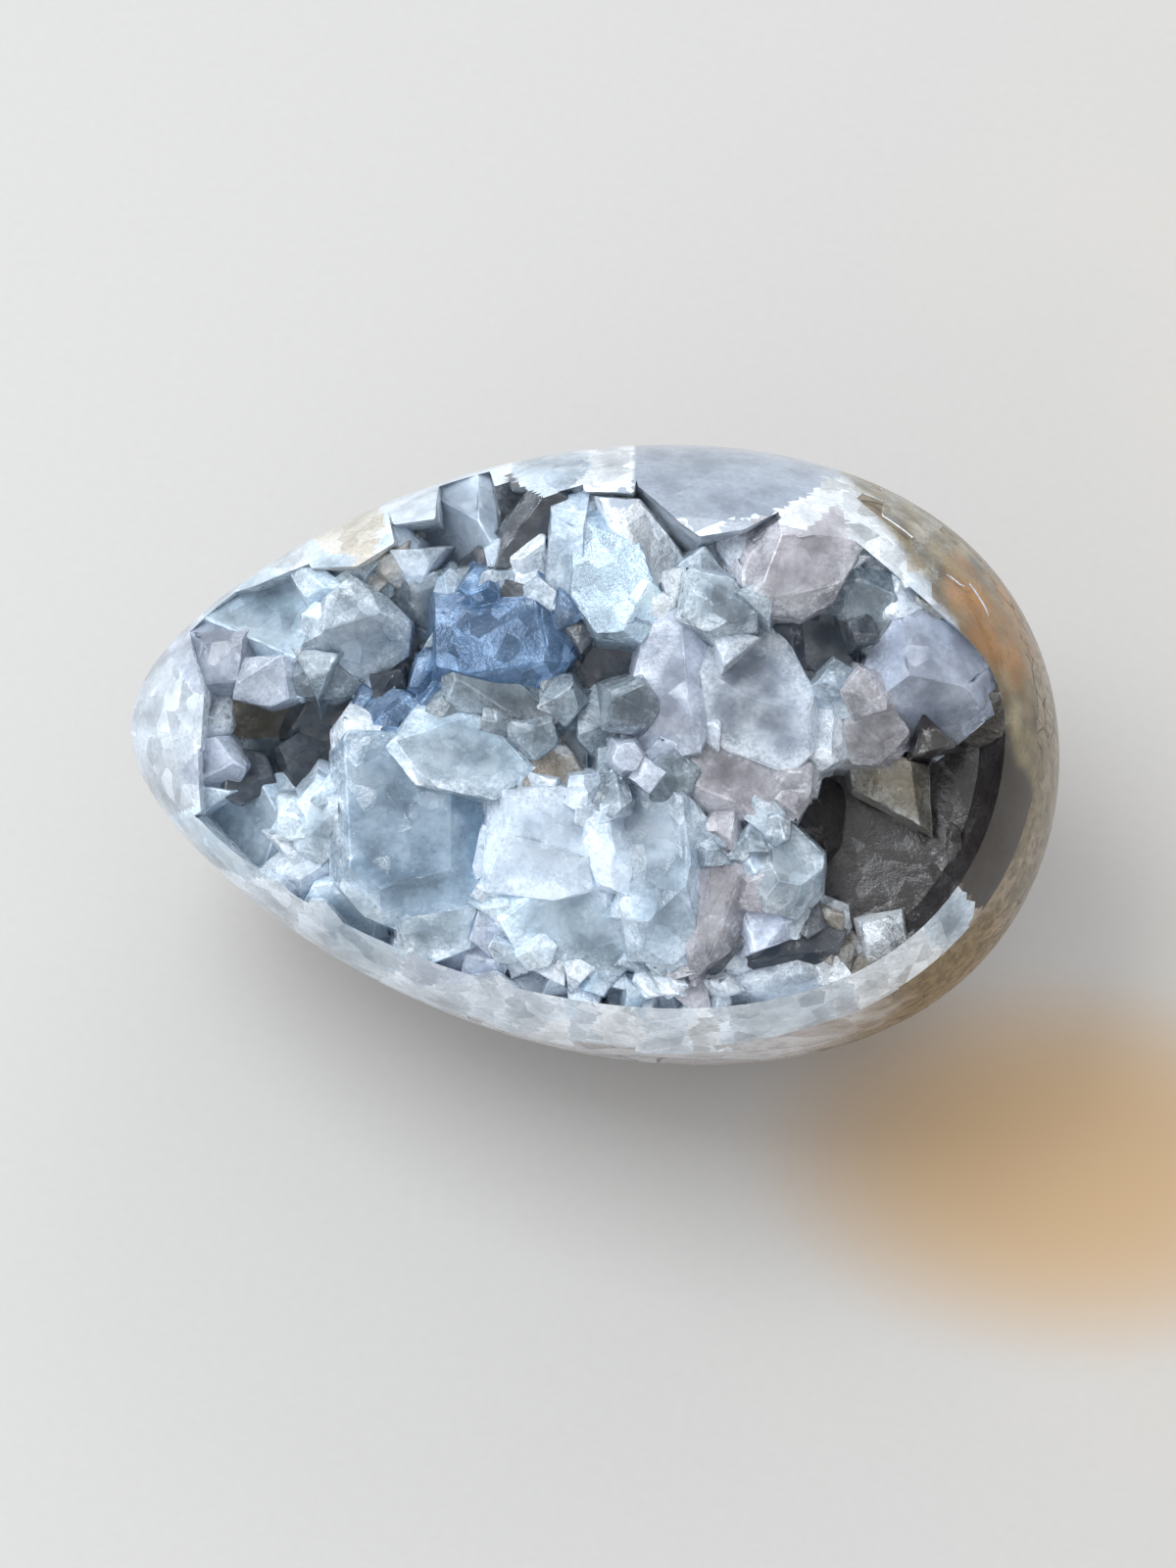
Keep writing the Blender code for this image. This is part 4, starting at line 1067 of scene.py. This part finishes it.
class Finish:
    """A material while it is being made."""

    def __init__(self, name):
        self.material = bpy.data.materials.new(name)
        self.material.use_nodes = True
        self.tree = self.material.node_tree
        self.tree.nodes.clear()

    def node(self, kind, settings, sockets):
        """A node of this kind, its settings made first and then its sockets' values or links."""
        node = self.tree.nodes.new(kind)
        for key, value in settings.items():
            setattr(node, key, value)
        for key, value in sockets.items():
            if isinstance(value, Wire):
                value = value.socket
            if isinstance(value, bpy.types.NodeSocket):
                self.tree.links.new(value, node.inputs[key])
            else:
                node.inputs[key].default_value = value
        return node

    def maths(self, operation, first, second, clamp=False):
        node = self.node("ShaderNodeMath", {"operation": operation, "use_clamp": clamp},
                         {0: first, 1: second})
        return Wire(self, node.outputs[0])

    def vector(self, operation, first, second):
        node = self.node("ShaderNodeVectorMath", {"operation": operation}, {0: first, 1: second})
        return node.outputs["Value" if operation in ("DOT_PRODUCT", "LENGTH") else "Vector"]

    def scaled(self, vector, factor):
        return self.node("ShaderNodeVectorMath", {"operation": "SCALE"},
                         {0: vector, "Scale": factor}).outputs["Vector"]

    def place(self):
        """Where the surface is, in the frame of the opening in millimetres."""
        coordinates = self.node("ShaderNodeTexCoord", {}, {})
        mapping = self.node("ShaderNodeMapping", {"vector_type": "TEXTURE"}, {
            "Vector": coordinates.outputs["Object"],
            "Location": (0, 0, AXIS_HEIGHT * METRES_PER_MM),
            "Rotation": (math.radians(90 - OPENING_ELEVATION), 0, 0),
            "Scale": (METRES_PER_MM,) * 3})
        return mapping.outputs["Vector"]

    def parts(self, vector):
        split = self.node("ShaderNodeSeparateXYZ", {}, {"Vector": vector})
        return [Wire(self, split.outputs[axis]) for axis in "XYZ"]

    def attribute(self, name):
        """A colour that the mesh carries, and its fourth value."""
        node = self.node("ShaderNodeAttribute", {"attribute_name": name}, {})
        return node.outputs["Color"], Wire(self, node.outputs["Alpha"])

    def clouds(self, vector, scale, detail=4.0, roughness=0.55, distortion=0.0):
        node = self.node("ShaderNodeTexNoise", {}, {
            "Vector": vector, "Scale": scale, "Detail": detail, "Roughness": roughness,
            "Distortion": distortion})
        return Wire(self, node.outputs[0])

    def warped(self, vector, scale, amount):
        """The same place, pushed about by noise."""
        node = self.node("ShaderNodeTexNoise", {}, {"Vector": vector, "Scale": scale, "Detail": 2.0})
        push = self.vector("SUBTRACT", node.outputs["Color"], (0.5, 0.5, 0.5))
        return self.vector("ADD", vector, self.scaled(push, amount))

    def cells(self, vector, scale):
        """A mosaic: each cell's own random colour, and a slope that differs from cell to cell."""
        node = self.node("ShaderNodeTexVoronoi", {"feature": "F1"}, {"Vector": vector, "Scale": scale})
        turn = self.vector("SUBTRACT", node.outputs["Color"], (0.5, 0.5, 0.5))
        away = self.vector("SUBTRACT", vector, node.outputs["Position"])
        return node.outputs["Color"], Wire(self, self.vector("DOT_PRODUCT", turn, away))

    def seams(self, vector, scale):
        """How far the nearest border between two cells is."""
        node = self.node("ShaderNodeTexVoronoi", {"feature": "DISTANCE_TO_EDGE"},
                         {"Vector": vector, "Scale": scale})
        return Wire(self, node.outputs["Distance"])

    def mix(self, factor, first, second, blend="MIX"):
        first, second = ((*value, 1.0) if isinstance(value, tuple) and len(value) == 3 else value
                         for value in (first, second))
        node = self.node("ShaderNodeMix", {"data_type": "RGBA", "blend_type": blend},
                         {0: factor, 6: first, 7: second})
        return node.outputs[2]

    def bump(self, height):
        """A normal from a height in millimetres."""
        node = self.node("ShaderNodeBump", {}, {"Strength": 1.0, "Distance": METRES_PER_MM, "Height": height})
        return node.outputs["Normal"]

    def close(self, surface, volume=None):
        sockets = {"Surface": surface}
        if volume is not None:
            sockets["Volume"] = volume
        self.node("ShaderNodeOutputMaterial", {}, sockets)
        return self.material


def plain_colour(value):
    return tuple(value)


def crystal_finish():
    """Celestite: clear crystal with clouds, frosted rims and shattered parts that send the light back."""
    finish = Finish("celestite_crystal")
    tint, body = finish.attribute("tint")
    grains, phase = finish.attribute("grain")
    flake_slope, grit_slope, cloudiness = finish.parts(grains)
    worn, mirror = finish.attribute("wear")
    # depth drives the painted shade below
    edge, depth, heart = finish.parts(worn)
    cuts, _ = finish.attribute("cut")
    ground, shatter, bleach = finish.parts(cuts)
    place = finish.place()
    shift = finish.node("ShaderNodeCombineXYZ", {}, {"X": phase * 90, "Y": phase * 37, "Z": phase * 61})
    own = finish.vector("ADD", place, shift.outputs["Vector"])
    cloud = finish.clouds(own, 0.22, detail=4.0, roughness=0.6)
    wisp = cloud.within(0.55, 0.72)
    cloud = cloud.within(0.36, 0.62)
    fine = finish.clouds(own, 2.6, detail=2.0, roughness=0.75)
    rim = 1.0 - heart
    broken = finish.clouds(own, 0.45, detail=3.0, roughness=0.7)
    broken = ((broken - 0.66 + shatter * (0.05 + rim * rim * 0.2)) * 7.0).clipped()
    flake_colour, flakes = finish.cells(own, 0.45)
    grit_colour, _ = finish.cells(own, 1.9)
    flake_tone, mosaic, _ = finish.parts(flake_colour)
    grit_tone, spark, _ = finish.parts(grit_colour)
    frost = (rim - 0.55) * 2.4 * (fine.within(0.3, 0.7) * 0.7 + 0.3) * cloudiness
    white = cloud * cloudiness * 0.55 + wisp * cloudiness * 0.4 + frost.clipped() * 0.7 + broken * 0.6
    white = white.clipped()
    cut_white = (mosaic * 0.7 + fine * 0.4 + broken * 0.2).clipped() * bleach
    white = white * 0.75 * (1.0 - ground * 0.7) + cut_white * ground * 0.7
    pale = finish.mix(white.clipped(), tint, (0.86, 0.93, 1.0))
    tone = 0.87 + (flake_tone - 0.5) * flake_slope + (grit_tone - 0.5) * (0.08 + broken * 0.3) + rim * 0.1
    tone = tone + (fine - 0.5) * 0.6 + (mosaic - 0.5) * ground * bleach * 0.16
    # Painted shade: the crystals are coloured darker the deeper they lie below the dished egg
    tone = tone * (1.0 - depth * 0.25) * (1.0 - ground * 0.1)
    grey = finish.node("ShaderNodeCombineXYZ", {}, {"X": tone, "Y": tone, "Z": tone}).outputs["Vector"]
    skin = finish.mix(1.0, pale, grey, blend="MULTIPLY")
    uncut = 1.0 - ground * 0.9
    rough = (0.02 + fine * 0.10 + broken * 0.1 + mirror * 0.35 + depth * 0.3).clipped()
    grit = (fine - 0.5) * (grit_slope + shatter * rim * 0.15) * 0.5
    normal = finish.bump((flakes * flake_slope + grit) * uncut)
    clear = finish.node("ShaderNodeBsdfPrincipled", {}, {
        "Base Color": finish.mix(0.5, pale, (1.0, 1.0, 1.0)), "Roughness": rough, "IOR": CELESTITE_IOR,
        "Transmission Weight": 1.0, "Normal": normal})
    sparkle = ((spark - 0.84) * 9.0).clipped() * broken * 0.7 * uncut
    milky = finish.node("ShaderNodeBsdfPrincipled", {}, {
        "Base Color": skin, "Roughness": rough, "IOR": CELESTITE_IOR,
        "Metallic": (mirror * (spark + 0.5) + sparkle).clipped(), "Normal": normal})
    share = body + (cloud - 0.5) * 0.3 + frost * 0.3 + broken * 0.3 + edge * 0.15 + ground * 0.2
    share = share.clipped()
    surface = finish.node("ShaderNodeMixShader", {}, {
        0: share, 1: clear.outputs["BSDF"], 2: milky.outputs["BSDF"]})
    volume = finish.node("ShaderNodeVolumeAbsorption", {}, {
        "Color": ABSORPTION_COLOUR, "Density": ABSORPTION_DENSITY})
    return finish.close(surface.outputs["Shader"], volume.outputs["Volume"])


def shell_finish(colours):
    """The polished outside: pale banded stone that turns olive and rusty towards the blunt end."""
    finish = Finish("polished_matrix")
    place = finish.place()
    u, v, w = finish.parts(place)
    bent = finish.warped(place, 0.10, 7.0)
    stretched = finish.node("ShaderNodeMapping", {}, {"Vector": bent, "Scale": (0.35, 1.0, 1.3)})
    cell_colour, _ = finish.cells(stretched.outputs["Vector"], 0.28)
    cell, _, _ = finish.parts(cell_colour)
    seam = finish.seams(stretched.outputs["Vector"], 0.28)
    fine = finish.clouds(bent, 0.9, detail=6.0, roughness=0.65)
    broad = finish.clouds(place, 0.09, detail=4.0)
    streak = finish.clouds(stretched.outputs["Vector"], 0.8, detail=5.0, roughness=0.7)
    pale = finish.mix(cell * 0.6, plain_colour(colours.band), plain_colour(colours.sugar))
    pale = finish.mix((streak.within(0.42, 0.72) * 0.8).clipped(), pale, (0.24, 0.21, 0.20))
    brown = finish.mix(cell, plain_colour(colours.olive), plain_colour(colours.tan))
    brown = finish.mix(fine.within(0.35, 0.7), brown, plain_colour(colours.earth))
    back = (u * 0.050 + v * 0.022 - w * 0.012 + (broad - 0.5) * 1.6 - 0.55).within(-0.35, 0.55)
    stone = finish.mix(back, pale, brown)
    across = finish.maths("ABSOLUTE", (u - 36.0) * 0.62 + (v - 15.0) * 0.78, 0.0)
    along = finish.maths("ABSOLUTE", (u - 36.0) * 0.78 - (v - 15.0) * 0.62, 0.0)
    stain = 1.0 - (across * 0.22 + along * 0.13 + (fine - 0.5) * 1.4).within(0.2, 1.2)
    stone = finish.mix(stain * 0.85, stone, plain_colour(colours.rust))
    crack = (1.0 - seam.within(0.0, 0.035)) * broad.within(0.48, 0.6)
    stone = finish.mix(crack * 0.75, stone, (0.05, 0.04, 0.03))
    rough = (fine * 0.25 + crack * 0.3 + 0.14).clipped()
    height = (fine - 0.5) * 0.03 - crack * 0.08
    skin = finish.node("ShaderNodeBsdfPrincipled", {}, {
        "Base Color": stone, "Roughness": rough, "IOR": STONE_IOR, "Normal": finish.bump(height)})
    return finish.close(skin.outputs["BSDF"])


def floor_finish(studio):
    """A plain pale floor, with a painted warm glow beside the blunt end, where light comes through the stone,
    and painted warm light towards the right.
    """
    finish = Finish("pale_floor")
    coordinates = finish.node("ShaderNodeTexCoord", {}, {})
    x, y, _ = finish.parts(coordinates.outputs["Object"])
    grain = finish.clouds(coordinates.outputs["Object"], 900.0, detail=2.0)
    broad = finish.clouds(coordinates.outputs["Object"], 12.0, detail=3.0)
    # Painted warm light: the floor turns warmer and lighter towards the right
    right = (x * 5.0 + (broad - 0.5) * 0.8).within(0.1, 0.8)
    across, along = (x - 0.050) * 28.0, (y + 0.028) * 42.0
    # Painted glow: a warm patch beside the blunt end stands in for the light that comes through the stone
    near = 1.0 - (across * across + along * along).within(0.0, 1.0)
    skin_colour = finish.mix((grain - 0.5) * 0.08 + 0.04, plain_colour(studio.floor), (0.9, 0.9, 0.9))
    skin_colour = finish.mix(right * 0.45, skin_colour, (0.72, 0.64, 0.52))
    skin_colour = finish.mix(near * 0.9, skin_colour, plain_colour(studio.glow))
    skin = finish.node("ShaderNodeBsdfPrincipled", {}, {"Base Color": skin_colour, "Roughness": 0.55})
    return finish.close(skin.outputs["BSDF"])


class GEODE_OT_shell(bpy.types.Operator):
    """Grinds and polishes the shell"""

    bl_idname = "geode.shell"
    bl_label = "Polished shell"

    def execute(self, context):
        bm = egg_mesh(context.scene.geode_sizes.shell_rings)
        lean = math.radians(90 - OPENING_ELEVATION)
        down = Vector((0, -math.sin(lean), -math.cos(lean)))
        trim(bm, down * AXIS_HEIGHT, down)
        bmesh.ops.recalc_face_normals(bm, faces=bm.faces)
        shell = combine(bm, ("DIFFERENCE", cavity(0.0)))
        if not shell.faces:
            raise RuntimeError("the shell came out empty")
        for face in shell.faces:
            face.smooth = True
        for edge in shell.edges:
            edge.smooth = edge.calc_face_angle(0.0) < math.radians(30)
        piece = new_piece("polished_shell", shell, shell_finish(context.scene.geode_colours))
        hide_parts("egg_shell")
        return {"FINISHED"}


class GEODE_OT_crust(bpy.types.Operator):
    """Grows the crystals in their bed and grinds them down with the egg"""

    bl_idname = "geode.crust"
    bl_label = "Crystal crust"

    def execute(self, context):
        scene = context.scene
        crystals = all_crystals(scene.geode_sizes)
        bm = crust_mesh(scene.geode_sizes, crystals)
        if not bm.faces:
            raise RuntimeError("the crust came out empty")
        refine(bm, scene.geode_sizes.fineness / METRES_PER_MM)
        for edge in bm.edges:
            edge.smooth = edge.calc_face_angle(0.0) < CREASE_ANGLE
        roughen(bm, scene.geode_sizes.unevenness / METRES_PER_MM)
        paint(bm, crystals, scene.geode_colours)
        for face in bm.faces:
            face.smooth = True
        piece = new_piece("crystal_crust_looks", bm, crystal_finish())
        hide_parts("crystal_crust")
        return {"FINISHED"}


def opening_axes():
    """u, v and w as directions in the row's frame."""
    turn = placement().to_3x3().normalized()
    return [turn.col[axis].copy() for axis in range(3)]


def add_lamp(name, direction, distance, size, power, tint):
    """A soft rectangular lamp that faces the egg."""
    lamp = bpy.data.lights.new(name, "AREA")
    lamp.shape = "RECTANGLE"
    lamp.size, lamp.size_y = size
    lamp.energy = power
    lamp.color = tint
    obj = bpy.data.objects.new(name, lamp)
    bpy.context.scene.collection.objects.link(obj)
    obj.location = Vector((0, 0, AXIS_HEIGHT * METRES_PER_MM)) + direction.normalized() * distance
    obj.rotation_euler = direction.to_track_quat("Z", "Y").to_euler()


class GEODE_OT_studio(bpy.types.Operator):
    """Sets up the floor, the lamps and the camera"""

    bl_idname = "geode.studio"
    bl_label = "Studio"

    def execute(self, context):
        scene = context.scene
        studio = scene.geode_studio
        bm = bmesh.new()
        bmesh.ops.create_grid(bm, x_segments=2, y_segments=2, size=FLOOR_HALF_SIZE)
        mesh = bpy.data.meshes.new("floor")
        bm.to_mesh(mesh)
        bm.free()
        floor = bpy.data.objects.new("floor", mesh)
        scene.collection.objects.link(floor)
        mesh.materials.append(floor_finish(studio))
        scene.world = bpy.data.worlds.new("studio")
        scene.world.use_nodes = True
        sky = scene.world.node_tree.nodes["Background"]
        sky.inputs["Color"].default_value = (*studio.sky, 1.0)
        sky.inputs["Strength"].default_value = studio.sky_strength
        for name, direction, distance, size, share, tint in LAMPS:
            add_lamp(name, Vector(direction), distance, size, studio.window_power * share, tint)
        scene.view_settings.view_transform = "Standard"
        scene.view_settings.look = "None"
        add_camera(scene, studio.distance)
        return {"FINISHED"}


def add_camera(scene, distance):
    """Looks straight into the opening from above the front, turned a little as the egg lies in view."""
    u, v, w = opening_axes()
    aim = Vector((0, 0, AXIS_HEIGHT * METRES_PER_MM)) + u * CAMERA_AIM_U + v * CAMERA_AIM_V
    right = u * math.cos(CAMERA_ROLL) + v * math.sin(CAMERA_ROLL)
    up = -u * math.sin(CAMERA_ROLL) + v * math.cos(CAMERA_ROLL)
    camera = bpy.data.objects.new("camera", bpy.data.cameras.new("camera"))
    scene.collection.objects.link(camera)
    camera.data.lens = CAMERA_LENS
    camera.data.sensor_width = CAMERA_SENSOR
    turn = Matrix((right, up, w)).transposed().to_4x4()
    camera.matrix_world = Matrix.Translation(aim + w * distance) @ turn
    scene.camera = camera


class GEODE_PT_panel(bpy.types.Panel):
    """The geode's settings and the steps that build it"""

    bl_label = "Celestite geode"
    bl_space_type = "VIEW_3D"
    bl_region_type = "UI"
    bl_category = "Geode"

    def draw(self, context):
        scene = context.scene
        for group in (scene.geode_sizes, scene.geode_colours, scene.geode_studio):
            box = self.layout.box()
            for name in group.__annotations__:
                box.prop(group, name)
        for operator in OPERATORS:
            self.layout.operator(operator.bl_idname)


OPERATORS = (GEODE_OT_studio, GEODE_OT_shell, GEODE_OT_crust)
CLASSES = (GeodeColours, GeodeSizes, StudioSettings, *OPERATORS, GEODE_PT_panel)


def register():
    for item in CLASSES:
        bpy.utils.register_class(item)
    bpy.types.Scene.geode_colours = PointerProperty(type=GeodeColours)
    bpy.types.Scene.geode_sizes = PointerProperty(type=GeodeSizes)
    bpy.types.Scene.geode_studio = PointerProperty(type=StudioSettings)


def unregister():
    del bpy.types.Scene.geode_studio
    del bpy.types.Scene.geode_sizes
    del bpy.types.Scene.geode_colours
    for item in reversed(CLASSES):
        bpy.utils.unregister_class(item)


def main():
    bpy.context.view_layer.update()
    register()
    for operator in OPERATORS:
        family, name = operator.bl_idname.split(".")
        getattr(getattr(bpy.ops, family), name)()


if __name__ == "__main__":
    main()
